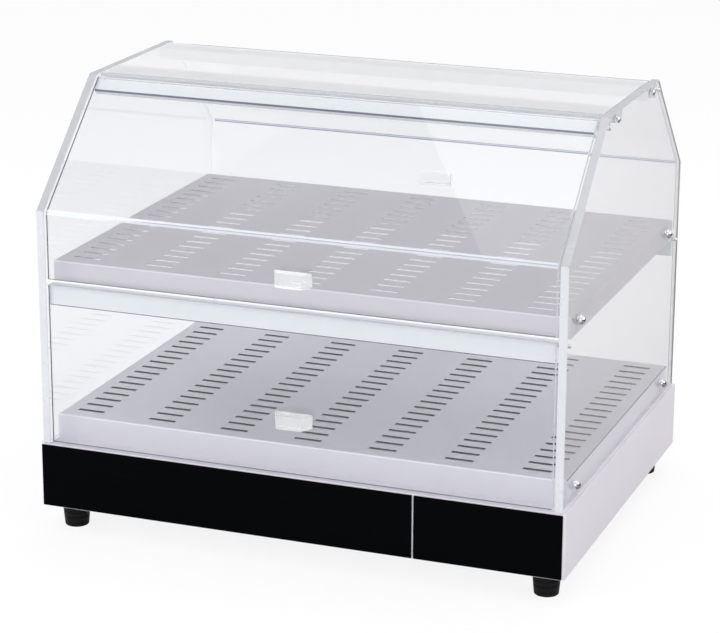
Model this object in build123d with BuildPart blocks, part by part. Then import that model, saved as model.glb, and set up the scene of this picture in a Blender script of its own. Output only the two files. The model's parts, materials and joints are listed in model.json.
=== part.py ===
from build123d import *
from math import hypot
import os

# Heated display case: two slotted trays between clear side panels on a heated base,
# closed by four flap doors, two in front and two behind. Millimetres, +Z up.
# The origin is the centre of the footprint on the floor, and -Y is the front.

# Overall sizes
case_width = 660
case_depth = 500
foot_height = 32
base_height = 80
case_height = 425
front_wall = 289
rear_wall = 296
front_slope_run = 148
rear_slope_run = 125
case_end_inset = 3
panel_inset = 4

# Clearances
fit_clearance = 0.05
seat_gap = 0.3

# Clear side panels
panel_thickness = 10
panel_edge_chamfer = 0.8

# Sheet metal base
base_sheet = 1.5
base_corner_radius = 2.5
base_flange_side = 40
base_flange_end = 50
fascia_thickness = 2
fascia_inset = 3
fascia_drop = 1.5
fascia_lift = 1
fascia_service_width = 182.3
fascia_split_gap = 2.2

# Vents in the underside
vent_length = 60
vent_width = 5
vent_pitch_x = 90
vent_pitch_y = 20
vent_columns = 3
vent_rows = 2

# Rubber feet, each with its stud and nut
foot_inset_x = 30
foot_inset_y = 35
foot_top_radius = 17.5
foot_bottom_radius = 14.5
stud_radius = 3
stud_reach = 8
foot_nut_flats = 10
foot_nut_height = 5

# Trays, folded from one sheet each
tray_sheet = 1.2
tray_bend_radius = 2.5
tray_setback = 23
shelf_top = 225
shelf_lip = 26
deck_top = 32
slot_length = 34
slot_width = 6
slot_column_pitch = 94
slot_row_pitch = 22.4
slot_margin_x = 15
slot_margin_y = 16

# Bolts that clamp the trays between the side panels
bolt_radius = 3
bolt_head_radius = 6
bolt_head_height = 5
bolt_from_tray_end = 29
bolt_below_shelf = 11
bolt_below_deck = 15
nut_flats = 10
nut_height = 5
thread_past_nut = 1.5
lug_thickness = 1.5
lug_width = 20
lug_above_bolt = 8

# Top rails and the clear panel on them
top_panel_thickness = 4
front_rail_width = 52
rear_rail_width = 30
rail_height = 14
rail_wall = 2
rail_port_radius = 4.5
rail_behind_front_edge = 11
rail_behind_rear_edge = 12
rail_screw_radius = 2
rail_screw_head_radius = 4.5
rail_screw_head_height = 2.5
rail_screw_length = 26
port_below_rail_top = 6

# Flap doors
door_thickness = 5
door_side_gap = 3
door_bend_radius = 8
door_bottom_gap = 3
lower_door_top = 200
door_split_gap = 6.5
upper_door_top_gap = 4
strip_thickness = 8
upper_strip_height = 18
lower_strip_height = 26
pin_radius = 2.5
pin_drop = 4.5
pin_depth_in_strip = 13
pin_proud = 1.5

# Door handles
handle_root_width = 48
handle_tip_width = 32
handle_height = 17
handle_reach = 16
handle_chamfer = 1
upper_handle_height = 241
lower_handle_height = 71

# Reflector tray and heating rods under the deck
reflector_sheet = 0.8
reflector_gap_side = 5
reflector_gap_end = 10
reflector_flange = 20
reflector_below_top = 52
rod_radius = 4
rod_end_gap = 35
rod_spacing = 150
rod_above_floor = 28
bracket_sheet = 1.5
bracket_foot = 14
bracket_from_rod_end = 25
bracket_side_margin = 12
bracket_above_rod = 4

# Thermostat behind the rear wall
thermostat_x = 200
control_height = 40
thermostat_width = 44
thermostat_depth = 30
thermostat_height = 32
bush_radius = 5
bush_proud = 1.5
shaft_radius = 3
shaft_depth_in_body = 8
knob_radius = 20
knob_gap = 2
knob_skirt = 4
knob_depth = 11
knob_grip_width = 12
knob_grip_length = 36
knob_bore_depth = 8.5
capillary_radius = 1
capillary_above_control = 12
bulb_radius = 3
bulb_length = 80
bulb_behind_wall = 8
clip_width = 14
clip_foot = 12

# Rocker switch in the rear wall
switch_x = 120
switch_width = 13.4
switch_length = 28.4
switch_depth = 18
switch_flange_width = 17
switch_flange_length = 33
switch_flange_thickness = 2
switch_cavity_width = 10.8
switch_cavity_length = 26
switch_cavity_depth = 14
rocker_width = 10
rocker_half_length = 10.5
rocker_valley = 5
rocker_crest = 7.2
rocker_belly = 5
rocker_shoulder = 2
rocker_pivot_depth = 3.5
rocker_axle_radius = 1.2
rocker_axle_length = 0.9
rocker_tilt = 12

# Pilot lamp, cable gland and terminal block
lamp_x = 160
lamp_body_radius = 5
lamp_rim_radius = 7
lamp_tip_radius = 4.5
lamp_proud = 5
lamp_depth = 20
gland_x = -230
gland_flats = 20
gland_thread_radius = 8
gland_bore_radius = 4
gland_proud = 12
gland_depth = 10
gland_nut_flats = 22
gland_nut_height = 4
gland_height = 24
terminal_x = -150
terminal_from_rear = 65
terminal_length = 42
terminal_width = 22
terminal_base_height = 10
terminal_pole_height = 18
terminal_poles = 3
terminal_pole_width = 9
terminal_pole_pitch = 13

# Levels and faces that follow from the sizes above
base_bottom_z = foot_height
base_top_z = base_bottom_z + base_height
top_z = base_top_z + case_height
wall_y = case_depth / 2 - case_end_inset
panel_outer_x = case_width / 2 - panel_inset
panel_inner_x = panel_outer_x - panel_thickness
shelf_top_z = base_top_z + shelf_top
deck_top_z = base_top_z + deck_top
tray_half_width = panel_inner_x - seat_gap
tray_depth = 2 * (wall_y - tray_setback)
bolt_spread_y = tray_depth / 2 - bolt_from_tray_end
slot_columns = int((2 * (tray_half_width - slot_margin_x) - slot_length) / slot_column_pitch) + 1
slot_rows = int((tray_depth - 2 * slot_margin_y - slot_width) / slot_row_pitch) + 1
shelf_bolt_z = shelf_top_z - bolt_below_shelf
deck_bolt_z = deck_top_z - bolt_below_deck
pin_depth = door_thickness + strip_thickness / 2
door_half_width = panel_inner_x - door_side_gap
rear_y = case_depth / 2
rear_face = Plane.XZ.offset(-rear_y)
control_z = base_bottom_z + control_height
gland_z = base_bottom_z + gland_height

# For each face of the case: its sign along Y, the height of its upright wall and its slope's run
faces_of_case = {"front": (-1, front_wall, front_slope_run), "rear": (1, rear_wall, rear_slope_run)}


def turned(*profile):
    with BuildPart() as piece:
        with BuildSketch(Plane.XZ):
            with BuildLine():
                Polyline(*profile, close=True)
            make_face()
        revolve(axis=Axis.Z)
    return piece.part


def headed_pin(head_radius, head_height, shank_radius, shank_length):
    return turned(
        (0, head_height),
        (head_radius, head_height),
        (head_radius, 0),
        (shank_radius, 0),
        (shank_radius, -shank_length),
        (0, -shank_length),
    )


def hex_nut(flats, height, bore_radius):
    with BuildPart() as piece:
        with BuildSketch():
            RegularPolygon(radius=flats / 2, side_count=6, major_radius=False)
            Circle(bore_radius, mode=Mode.SUBTRACT)
        extrude(amount=height)
    return piece.part


def side_places(x, points):
    # Planes that look outwards from both sides of the case, at the given (y, z) points
    return [
        Plane(origin=(side * x, y, z), x_dir=(0, side, 0), z_dir=(side, 0, 0))
        for side in (-1, 1)
        for y, z in points
    ]


def group_of(shape, places):
    with BuildPart() as group:
        with Locations(*places):
            add(shape)
    return group


def corner(face):
    # Where the slope of a face meets the top of the case
    side, wall, run = faces_of_case[face]
    return side * (wall_y - run), top_z


def bend(face):
    side, wall, run = faces_of_case[face]
    return side * wall_y, base_top_z + wall


def slope(face):
    # Unit vectors down the slope and outwards from it, in (y, z)
    side, wall, run = faces_of_case[face]
    top, low = corner(face), bend(face)
    length = hypot(low[0] - top[0], low[1] - top[1])
    down = ((low[0] - top[0]) / length, (low[1] - top[1]) / length)
    outward = (-side * down[1], side * down[0])
    return down, outward


def on_slope(face, along, inside):
    top = corner(face)
    down, outward = slope(face)
    return (
        top[0] + down[0] * along - outward[0] * inside,
        top[1] + down[1] * along - outward[1] * inside,
    )


def hinge_plane(level, face):
    # A plane on the hinge axis, facing out of the case, with its Y towards the door's top edge
    side = faces_of_case[face][0]
    if level == "upper":
        outward = slope(face)[1]
        y, z = on_slope(face, upper_door_top_gap + pin_drop, pin_depth)
    else:
        outward = (side, 0)
        y, z = side * (wall_y - pin_depth), base_top_z + lower_door_top - pin_drop
    return Plane(origin=(0, y, z), x_dir=(-side, 0, 0), z_dir=(0, outward[0], outward[1]))


levels = ("upper", "lower")
pin_points = [(hinge_plane(v, f).origin.Y, hinge_plane(v, f).origin.Z) for v in levels for f in faces_of_case]
shelf_bolt_points = [(y, shelf_bolt_z) for y in (-bolt_spread_y, bolt_spread_y)]
deck_bolt_points = [(y, deck_bolt_z) for y in (-bolt_spread_y, bolt_spread_y)]

# Top rails: the front one starts behind the upper front door, the rear one ends before the rear door
rail_top_z = top_z - top_panel_thickness
front_edge_y = hinge_plane("upper", "front").origin.Y + rail_behind_front_edge
rear_edge_y = hinge_plane("upper", "rear").origin.Y - rail_behind_rear_edge
rail_centres = {"front": front_edge_y + front_rail_width / 2, "rear": rear_edge_y - rear_rail_width / 2}
port_z = rail_top_z - port_below_rail_top
port_points = [(rail_centres[face], port_z) for face in rail_centres]

# Base housing: a folded pan with inward flanges at its top
base_opening_width = case_width - 2 * base_flange_side
base_opening_depth = case_depth - 2 * base_flange_end
foot_spread_x = case_width / 2 - foot_inset_x
foot_spread_y = case_depth / 2 - foot_inset_y
housing_depth = case_depth - fascia_thickness
housing_y = fascia_thickness / 2
foot_places = [(x, y) for x in (-foot_spread_x, foot_spread_x) for y in (-foot_spread_y, foot_spread_y)]
lug_outer_x = tray_half_width - tray_sheet
lug_top_z = deck_bolt_z + lug_above_bolt
lug_slot_bottom_z = deck_bolt_z - bolt_radius - fit_clearance

with BuildPart() as base_housing:
    with BuildSketch(Plane.XY.offset(base_bottom_z)):
        with Locations((0, housing_y)):
            RectangleRounded(case_width, housing_depth, base_corner_radius)
    extrude(amount=base_height)
    with BuildSketch(Plane.XY.offset(base_bottom_z + base_sheet)):
        with Locations((0, housing_y)):
            RectangleRounded(
                case_width - 2 * base_sheet,
                housing_depth - 2 * base_sheet,
                base_corner_radius - base_sheet,
            )
    extrude(amount=base_height - 2 * base_sheet, mode=Mode.SUBTRACT)
    with BuildSketch(Plane.XY.offset(base_top_z)):
        Rectangle(base_opening_width, base_opening_depth)
    extrude(amount=-base_sheet, mode=Mode.SUBTRACT)
    # Lugs folded up from the flange, each with a slot open at the top for a deck bolt
    for side in (-1, 1):
        with BuildSketch(Plane.YZ.offset(side * lug_outer_x)):
            with Locations(*[(y, (base_top_z - base_sheet + lug_top_z) / 2) for y, z in deck_bolt_points]):
                Rectangle(lug_width, lug_top_z - base_top_z + base_sheet)
        extrude(amount=-side * lug_thickness)
        with BuildSketch(Plane.YZ.offset(side * lug_outer_x)):
            with Locations(*[(y, (lug_slot_bottom_z + lug_top_z) / 2) for y, z in deck_bolt_points]):
                Rectangle(2 * (bolt_radius + fit_clearance), lug_top_z - lug_slot_bottom_z)
        extrude(amount=-side * lug_thickness, mode=Mode.SUBTRACT)
    # Stud holes and vents in the bottom
    with BuildSketch(Plane.XY.offset(base_bottom_z)):
        with Locations(*foot_places):
            Circle(stud_radius + fit_clearance)
        with GridLocations(vent_pitch_x, vent_pitch_y, vent_columns, vent_rows):
            Rectangle(vent_length, vent_width)
    extrude(amount=base_sheet, mode=Mode.SUBTRACT)
    # Holes for the controls and the gland in the rear wall
    with BuildSketch(rear_face):
        with Locations((thermostat_x, control_z)):
            Circle(bush_radius + fit_clearance)
        with Locations((lamp_x, control_z)):
            Circle(lamp_body_radius + fit_clearance)
        with Locations((switch_x, control_z)):
            Rectangle(switch_width + 2 * fit_clearance, switch_length + 2 * fit_clearance)
        with Locations((gland_x, gland_z)):
            Circle(gland_thread_radius + fit_clearance)
    extrude(amount=base_sheet, mode=Mode.SUBTRACT)

# Black panels on the front of the base, split by a narrow gap
fascia_edge = case_width / 2 - fascia_inset
fascia_split_x = case_width / 2 - fascia_service_width
fascia_ends = {
    "fascia_main": (-fascia_edge, fascia_split_x - fascia_split_gap / 2),
    "fascia_service": (fascia_split_x + fascia_split_gap / 2, fascia_edge),
}
fascia_bottom_z = base_bottom_z + fascia_lift
fascia_top_z = base_top_z - fascia_drop


def fascia(start_x, end_x):
    with BuildPart() as panel:
        with BuildSketch(Plane.XZ.offset(case_depth / 2 - fascia_thickness)):
            with Locations(((start_x + end_x) / 2, (fascia_bottom_z + fascia_top_z) / 2)):
                Rectangle(end_x - start_x, fascia_top_z - fascia_bottom_z)
        extrude(amount=fascia_thickness)
    return panel


fascias = {name: fascia(*ends) for name, ends in fascia_ends.items()}

# Feet: tapered rubber with a stud moulded in, and a nut inside the base
foot_shape = turned(
    (0, 0),
    (foot_bottom_radius, 0),
    (foot_top_radius, foot_height),
    (stud_radius, foot_height),
    (stud_radius, foot_height + stud_reach),
    (0, foot_height + stud_reach),
)
feet = group_of(foot_shape, foot_places)
foot_nut = hex_nut(foot_nut_flats, foot_nut_height, stud_radius + fit_clearance)
foot_nuts = group_of(foot_nut, [(x, y, base_bottom_z + base_sheet) for x, y in foot_places])

# Reflector tray: drops through the opening of the base and hangs by its flange
reflector_floor_z = base_top_z - reflector_below_top
reflector_width = base_opening_width - 2 * reflector_gap_side
reflector_depth = base_opening_depth - 2 * reflector_gap_end
reflector_size = (reflector_width, reflector_depth)
reflector_inner = (reflector_width - 2 * reflector_sheet, reflector_depth - 2 * reflector_sheet)
capillary_z = control_z + capillary_above_control
with BuildPart() as reflector_tray:
    with BuildSketch(Plane.XY.offset(reflector_floor_z)):
        Rectangle(*reflector_size)
    extrude(amount=reflector_below_top + reflector_sheet)
    with BuildSketch(Plane.XY.offset(base_top_z)):
        Rectangle(reflector_width + 2 * reflector_flange, reflector_depth + 2 * reflector_flange)
    extrude(amount=reflector_sheet)
    with BuildSketch(Plane.XY.offset(reflector_floor_z + reflector_sheet)):
        Rectangle(*reflector_inner)
    extrude(amount=reflector_below_top, mode=Mode.SUBTRACT)
    with BuildSketch(Plane.XZ.offset(-reflector_depth / 2)):
        with Locations((thermostat_x, capillary_z)):
            Circle(capillary_radius + fit_clearance)
    extrude(amount=reflector_sheet, mode=Mode.SUBTRACT)

# Heating rods, lying in notched brackets
rod_z = reflector_floor_z + reflector_sheet + rod_above_floor
rod_ys = (-rod_spacing / 2, rod_spacing / 2)
rod_length = reflector_width - 2 * rod_end_gap
with BuildPart() as heating_rods:
    with BuildSketch(Plane.YZ):
        with Locations(*[(y, rod_z) for y in rod_ys]):
            Circle(rod_radius)
    extrude(amount=rod_length / 2, both=True)

bracket_x = rod_length / 2 - bracket_from_rod_end
bracket_bottom_z = reflector_floor_z + reflector_sheet
bracket_top_z = rod_z + bracket_above_rod
bracket_width = rod_spacing + 2 * (rod_radius + bracket_side_margin)
notch_bottom_z = rod_z - rod_radius - fit_clearance
notch_width = 2 * (rod_radius + fit_clearance)
with BuildPart() as rod_brackets:
    for x in (-bracket_x, bracket_x):
        with BuildSketch(Plane.YZ.offset(x)):
            with Locations((0, (bracket_bottom_z + bracket_top_z) / 2)):
                Rectangle(bracket_width, bracket_top_z - bracket_bottom_z)
            with Locations(*[(y, (notch_bottom_z + bracket_top_z) / 2) for y in rod_ys]):
                Rectangle(notch_width, bracket_top_z - notch_bottom_z, mode=Mode.SUBTRACT)
        extrude(amount=bracket_sheet)
        with BuildSketch(Plane.XY.offset(bracket_bottom_z)):
            with Locations((x + bracket_foot / 2, 0)):
                Rectangle(bracket_foot, bracket_width)
        extrude(amount=bracket_sheet)

# Thermostat: body with a threaded bush, turning shaft and knob, and its sensing bulb
thermostat_back_y = rear_y - base_sheet - thermostat_depth
with BuildPart() as thermostat:
    with BuildSketch(rear_face.offset(base_sheet)):
        with Locations((thermostat_x, control_z)):
            Rectangle(thermostat_width, thermostat_height)
    extrude(amount=thermostat_depth)
    with BuildSketch(rear_face.offset(-bush_proud)):
        with Locations((thermostat_x, control_z)):
            Circle(bush_radius)
    extrude(amount=bush_proud + base_sheet)
    with BuildSketch(rear_face.offset(-bush_proud)):
        with Locations((thermostat_x, control_z)):
            Circle(shaft_radius + fit_clearance)
    extrude(amount=bush_proud + base_sheet + shaft_depth_in_body + seat_gap, mode=Mode.SUBTRACT)

shaft_reach = knob_gap + knob_bore_depth - seat_gap
with BuildPart() as thermostat_shaft:
    with BuildSketch(rear_face.offset(base_sheet + shaft_depth_in_body)):
        with Locations((thermostat_x, control_z)):
            Circle(shaft_radius)
    extrude(amount=-(base_sheet + shaft_depth_in_body + shaft_reach))

knob_face = rear_face.offset(-knob_gap)
with BuildPart() as thermostat_knob:
    with BuildSketch(knob_face):
        with Locations((thermostat_x, control_z)):
            Circle(knob_radius)
    extrude(amount=-knob_skirt)
    with BuildSketch(knob_face.offset(-knob_skirt)):
        with Locations((thermostat_x, control_z)):
            Rectangle(knob_grip_width, knob_grip_length)
    extrude(amount=knob_skirt - knob_depth)
    with BuildSketch(knob_face):
        with Locations((thermostat_x, control_z)):
            Circle(shaft_radius + fit_clearance)
    extrude(amount=-knob_bore_depth, mode=Mode.SUBTRACT)

bulb_start = thermostat_back_y - reflector_depth / 2 + bulb_behind_wall
bulb_shape = turned(
    (0, 0),
    (capillary_radius, 0),
    (capillary_radius, bulb_start),
    (bulb_radius, bulb_start),
    (bulb_radius, bulb_start + bulb_length),
    (0, bulb_start + bulb_length),
)
bulb_place = Plane(origin=(thermostat_x, thermostat_back_y, capillary_z), z_dir=(0, -1, 0))
thermostat_bulb = group_of(bulb_shape, [bulb_place])

clip_y = thermostat_back_y - bulb_start - bulb_length / 2
with BuildPart() as bulb_clip:
    with BuildSketch(Plane.XZ.offset(-clip_y)):
        with Locations((thermostat_x, (bracket_bottom_z + capillary_z + clip_width / 2) / 2)):
            Rectangle(clip_width, capillary_z + clip_width / 2 - bracket_bottom_z)
        with Locations((thermostat_x, capillary_z)):
            Circle(bulb_radius + fit_clearance, mode=Mode.SUBTRACT)
    extrude(amount=bracket_sheet)
    with BuildSketch(Plane.XY.offset(bracket_bottom_z)):
        with Locations((thermostat_x, clip_y - clip_foot / 2)):
            Rectangle(clip_width, clip_foot)
    extrude(amount=bracket_sheet)

# Rocker switch: a body that snaps into the wall, and a rocker that tilts on two axle stubs.
# At rest its lower end is pressed in.
switch_place = (switch_x, control_z)
pivot_y = rear_y - rocker_pivot_depth
with BuildPart() as switch_body:
    with BuildSketch(rear_face.offset(-switch_flange_thickness)):
        with Locations(switch_place):
            Rectangle(switch_flange_width, switch_flange_length)
    extrude(amount=switch_flange_thickness)
    with BuildSketch(rear_face):
        with Locations(switch_place):
            Rectangle(switch_width, switch_length)
    extrude(amount=switch_depth)
    with BuildSketch(rear_face.offset(-switch_flange_thickness)):
        with Locations(switch_place):
            Rectangle(switch_cavity_width, switch_cavity_length)
    extrude(amount=switch_cavity_depth, mode=Mode.SUBTRACT)
    with BuildSketch(Plane.YZ.offset(switch_x - switch_width / 2)):
        with Locations((pivot_y, control_z)):
            Circle(rocker_axle_radius + fit_clearance)
    extrude(amount=switch_width, mode=Mode.SUBTRACT)

rocker_axis = Axis((switch_x, pivot_y, control_z), (1, 0, 0))
with BuildPart() as switch_rocker:
    with BuildSketch(Plane(origin=(switch_x, pivot_y, control_z), x_dir=(0, 1, 0), z_dir=(1, 0, 0))):
        with BuildLine():
            Polyline(
                (rocker_valley, 0),
                (rocker_crest, rocker_half_length),
                (-rocker_shoulder, rocker_half_length),
                (-rocker_belly, 0),
                (-rocker_shoulder, -rocker_half_length),
                (rocker_crest, -rocker_half_length),
                close=True,
            )
        make_face()
    extrude(amount=rocker_width / 2, both=True)
    with BuildSketch(Plane(origin=(switch_x, pivot_y, control_z), x_dir=(0, 1, 0), z_dir=(1, 0, 0))):
        Circle(rocker_axle_radius)
    extrude(amount=switch_cavity_width / 2 + rocker_axle_length, both=True)
switch_rocker.part = switch_rocker.part.rotate(rocker_axis, -rocker_tilt)

# Pilot lamp
lamp_shape = turned(
    (0, lamp_proud),
    (lamp_tip_radius, lamp_proud),
    (lamp_rim_radius, 0),
    (lamp_body_radius, 0),
    (lamp_body_radius, -lamp_depth),
    (0, -lamp_depth),
)
rear_outward = {"x_dir": (-1, 0, 0), "z_dir": (0, 1, 0)}
pilot_lamp = group_of(lamp_shape, [Plane(origin=(lamp_x, rear_y, control_z), **rear_outward)])

# Cable gland with its lock nut inside the base
gland_place = (gland_x, gland_z)
with BuildPart() as cable_gland:
    with BuildSketch(rear_face):
        with Locations(gland_place):
            RegularPolygon(radius=gland_flats / 2, side_count=6, major_radius=False)
    extrude(amount=-gland_proud)
    with BuildSketch(rear_face):
        with Locations(gland_place):
            Circle(gland_thread_radius)
    extrude(amount=gland_depth)
    with BuildSketch(rear_face.offset(-gland_proud)):
        with Locations(gland_place):
            Circle(gland_bore_radius)
    extrude(amount=gland_proud + gland_depth, mode=Mode.SUBTRACT)
gland_nut_shape = hex_nut(gland_nut_flats, gland_nut_height, gland_thread_radius + fit_clearance)
gland_nut_y = rear_y - base_sheet - gland_nut_height
gland_nut = group_of(gland_nut_shape, [Plane(origin=(gland_x, gland_nut_y, gland_z), **rear_outward)])

# Terminal block on the floor of the base
terminal_y = rear_y - terminal_from_rear
with BuildPart() as terminal_block:
    with BuildSketch(Plane.XY.offset(base_bottom_z + base_sheet)):
        with Locations((terminal_x, terminal_y)):
            Rectangle(terminal_length, terminal_width)
    extrude(amount=terminal_base_height)
    with BuildSketch(Plane.XY.offset(base_bottom_z + base_sheet)):
        with Locations((terminal_x, terminal_y)):
            with GridLocations(terminal_pole_pitch, 0, terminal_poles, 1):
                Rectangle(terminal_pole_width, terminal_width)
    extrude(amount=terminal_pole_height)


# Trays: a sheet folded down on four sides, with rows of slots through its top
def folded_tray(top, lip, bolt_points):
    with BuildPart() as tray:
        with BuildSketch(Plane.XY.offset(top)):
            Rectangle(2 * tray_half_width, tray_depth)
        extrude(amount=-lip)
        fillet(tray.edges().group_by(Axis.Z)[-1], radius=tray_bend_radius)
        offset(amount=-tray_sheet, openings=tray.faces().sort_by(Axis.Z)[0])
        with BuildSketch(Plane.XY.offset(top)):
            with GridLocations(slot_column_pitch, slot_row_pitch, slot_columns, slot_rows):
                Rectangle(slot_length, slot_width)
        extrude(amount=-tray_sheet, mode=Mode.SUBTRACT)
        with BuildSketch(Plane.YZ):
            with Locations(*bolt_points):
                Circle(bolt_radius + fit_clearance)
        extrude(amount=tray_half_width, both=True, mode=Mode.SUBTRACT)
    return tray


deck_tray = folded_tray(deck_top_z, deck_top, deck_bolt_points)
shelf_tray = folded_tray(shelf_top_z, shelf_lip, shelf_bolt_points)

# Bolts and nuts of both trays
shelf_clamp = panel_thickness + seat_gap + tray_sheet
deck_clamp = shelf_clamp + lug_thickness
tray_nut = hex_nut(nut_flats, nut_height, bolt_radius + fit_clearance)


def tray_bolts(clamp, points):
    length = clamp + nut_height + thread_past_nut
    shape = headed_pin(bolt_head_radius, bolt_head_height, bolt_radius, length)
    return group_of(shape, side_places(panel_outer_x, points))


def tray_nuts(clamp, points):
    return group_of(tray_nut, side_places(panel_outer_x - clamp - nut_height, points))


shelf_bolts = tray_bolts(shelf_clamp, shelf_bolt_points)
shelf_nuts = tray_nuts(shelf_clamp, shelf_bolt_points)
deck_bolts = tray_bolts(deck_clamp, deck_bolt_points)
deck_nuts = tray_nuts(deck_clamp, deck_bolt_points)

# Side panels: one clear sheet each, drilled for the bolts, hinge pins and rail screws
panel_outline = [
    (-wall_y, base_top_z),
    bend("front"),
    corner("front"),
    corner("rear"),
    bend("rear"),
    (wall_y, base_top_z),
]


def side_panel(side):
    with BuildPart() as panel:
        with BuildSketch(Plane.YZ.offset(side * panel_inner_x)):
            with BuildLine():
                Polyline(*panel_outline, close=True)
            make_face()
        extrude(amount=side * panel_thickness)
        flat_faces = panel.faces().sort_by(Axis.X)
        chamfer(flat_faces[0].edges() + flat_faces[-1].edges(), length=panel_edge_chamfer)
        with BuildSketch(Plane.YZ.offset(side * panel_inner_x)):
            with Locations(*shelf_bolt_points, *deck_bolt_points):
                Circle(bolt_radius + fit_clearance)
            with Locations(*pin_points):
                Circle(pin_radius + fit_clearance)
            with Locations(*port_points):
                Circle(rail_screw_radius + fit_clearance)
        extrude(amount=side * panel_thickness, mode=Mode.SUBTRACT)
    return panel


side_panel_left = side_panel(-1)
side_panel_right = side_panel(1)


# Top rails: channels open downwards, with a screw port under the web
def top_rail(centre_y, width):
    with BuildPart() as rail:
        with BuildSketch(Plane.YZ):
            with Locations((centre_y, rail_top_z - rail_height / 2)):
                Rectangle(width, rail_height)
            with Locations((centre_y, rail_top_z - rail_wall - rail_height / 2)):
                Rectangle(width - 2 * rail_wall, rail_height, mode=Mode.SUBTRACT)
            with Locations((centre_y, port_z)):
                Circle(rail_port_radius)
                Circle(rail_screw_radius + fit_clearance, mode=Mode.SUBTRACT)
        extrude(amount=panel_inner_x, both=True)
    return rail


top_rail_front = top_rail(rail_centres["front"], front_rail_width)
top_rail_rear = top_rail(rail_centres["rear"], rear_rail_width)
rail_screw = headed_pin(
    rail_screw_head_radius,
    rail_screw_head_height,
    rail_screw_radius,
    rail_screw_length,
)
rail_screws = group_of(rail_screw, side_places(panel_outer_x, port_points))

with BuildPart() as top_panel:
    with BuildSketch(Plane.XY.offset(rail_top_z)):
        with Locations((0, (front_edge_y + rear_edge_y) / 2)):
            Rectangle(2 * tray_half_width, rear_edge_y - front_edge_y)
    extrude(amount=top_panel_thickness)


# Flap doors: a clear sheet, flat below and bent above, with a hinge strip, two pins and a handle
def upper_flap(face):
    side = faces_of_case[face][0]
    bottom_z = base_top_z + lower_door_top + door_split_gap
    with BuildPart() as flap:
        with BuildSketch(Plane.YZ):
            with BuildLine():
                FilletPolyline(
                    on_slope(face, upper_door_top_gap, 0),
                    bend(face),
                    (side * wall_y, bottom_z),
                    radius=door_bend_radius,
                )
                offset(amount=door_thickness, side=Side.LEFT if side < 0 else Side.RIGHT)
            make_face()
        extrude(amount=door_half_width, both=True)
    return flap


def lower_flap(face):
    side = faces_of_case[face][0]
    with BuildPart() as flap:
        with BuildSketch(Plane.YZ):
            with Locations((side * (wall_y - door_thickness / 2), base_top_z + door_bottom_gap)):
                Rectangle(door_thickness, lower_door_top - door_bottom_gap, align=(Align.CENTER, Align.MIN))
        extrude(amount=door_half_width, both=True)
    return flap


def hinge_strip(level, face):
    hinge = hinge_plane(level, face)
    height = {"upper": upper_strip_height, "lower": lower_strip_height}[level]
    with BuildPart() as strip:
        with BuildSketch(hinge.offset(-strip_thickness / 2)):
            with Locations((0, pin_drop - height / 2)):
                Rectangle(2 * door_half_width, height)
        extrude(amount=strip_thickness)
        for side in (-1, 1):
            with BuildSketch(Plane.YZ.offset(side * door_half_width)):
                with Locations((hinge.origin.Y, hinge.origin.Z)):
                    Circle(pin_radius + fit_clearance)
            extrude(amount=-side * (pin_depth_in_strip + seat_gap), mode=Mode.SUBTRACT)
    return strip


pin_length = pin_proud + panel_thickness + door_side_gap + pin_depth_in_strip
hinge_pin = turned(
    (0, pin_proud),
    (pin_radius, pin_proud),
    (pin_radius, pin_proud - pin_length),
    (0, pin_proud - pin_length),
)


def handle(level, face):
    side = faces_of_case[face][0]
    height = {"upper": upper_handle_height, "lower": lower_handle_height}[level]
    root_y = side * wall_y
    tip_y = side * (wall_y + handle_reach)
    with BuildPart() as grip:
        with BuildSketch(Plane.XY.offset(base_top_z + height - handle_height / 2)):
            with BuildLine():
                Polyline(
                    (-handle_root_width / 2, root_y),
                    (handle_root_width / 2, root_y),
                    (handle_tip_width / 2, tip_y),
                    (-handle_tip_width / 2, tip_y),
                    close=True,
                )
            make_face()
        extrude(amount=handle_height)
        tip = grip.faces().sort_by(Axis.Y)[-1 if side > 0 else 0]
        chamfer(tip.edges(), length=handle_chamfer)
    return grip


nodes = {
    "base_housing": base_housing,
    **fascias,
    "feet": feet,
    "foot_nuts": foot_nuts,
    "reflector_tray": reflector_tray,
    "heating_rods": heating_rods,
    "rod_brackets": rod_brackets,
    "thermostat": thermostat,
    "thermostat_shaft": thermostat_shaft,
    "thermostat_knob": thermostat_knob,
    "thermostat_bulb": thermostat_bulb,
    "bulb_clip": bulb_clip,
    "switch_body": switch_body,
    "switch_rocker": switch_rocker,
    "pilot_lamp": pilot_lamp,
    "cable_gland": cable_gland,
    "gland_nut": gland_nut,
    "terminal_block": terminal_block,
    "deck_tray": deck_tray,
    "deck_bolts": deck_bolts,
    "deck_nuts": deck_nuts,
    "shelf_tray": shelf_tray,
    "shelf_bolts": shelf_bolts,
    "shelf_nuts": shelf_nuts,
    "side_panel_left": side_panel_left,
    "side_panel_right": side_panel_right,
    "top_rail_front": top_rail_front,
    "top_rail_rear": top_rail_rear,
    "rail_screws": rail_screws,
    "top_panel": top_panel,
}
for face in faces_of_case:
    for level in levels:
        hinge = hinge_plane(level, face)
        name = f"{level}_{face}"
        nodes[f"door_{name}"] = upper_flap(face) if level == "upper" else lower_flap(face)
        nodes[f"hinge_strip_{name}"] = hinge_strip(level, face)
        pin_places = side_places(panel_outer_x, [(hinge.origin.Y, hinge.origin.Z)])
        nodes[f"hinge_pins_{name}"] = group_of(hinge_pin, pin_places)
        nodes[f"handle_{name}"] = handle(level, face)

os.makedirs("parts", exist_ok=True)
for name, node in nodes.items():
    node.part.label = name
    export_step(node.part, f"parts/{name}.step")
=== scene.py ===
import bpy
import json
from math import atan2, cos, degrees, pi, radians, sin, tan
from mathutils import Matrix, Vector


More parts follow.
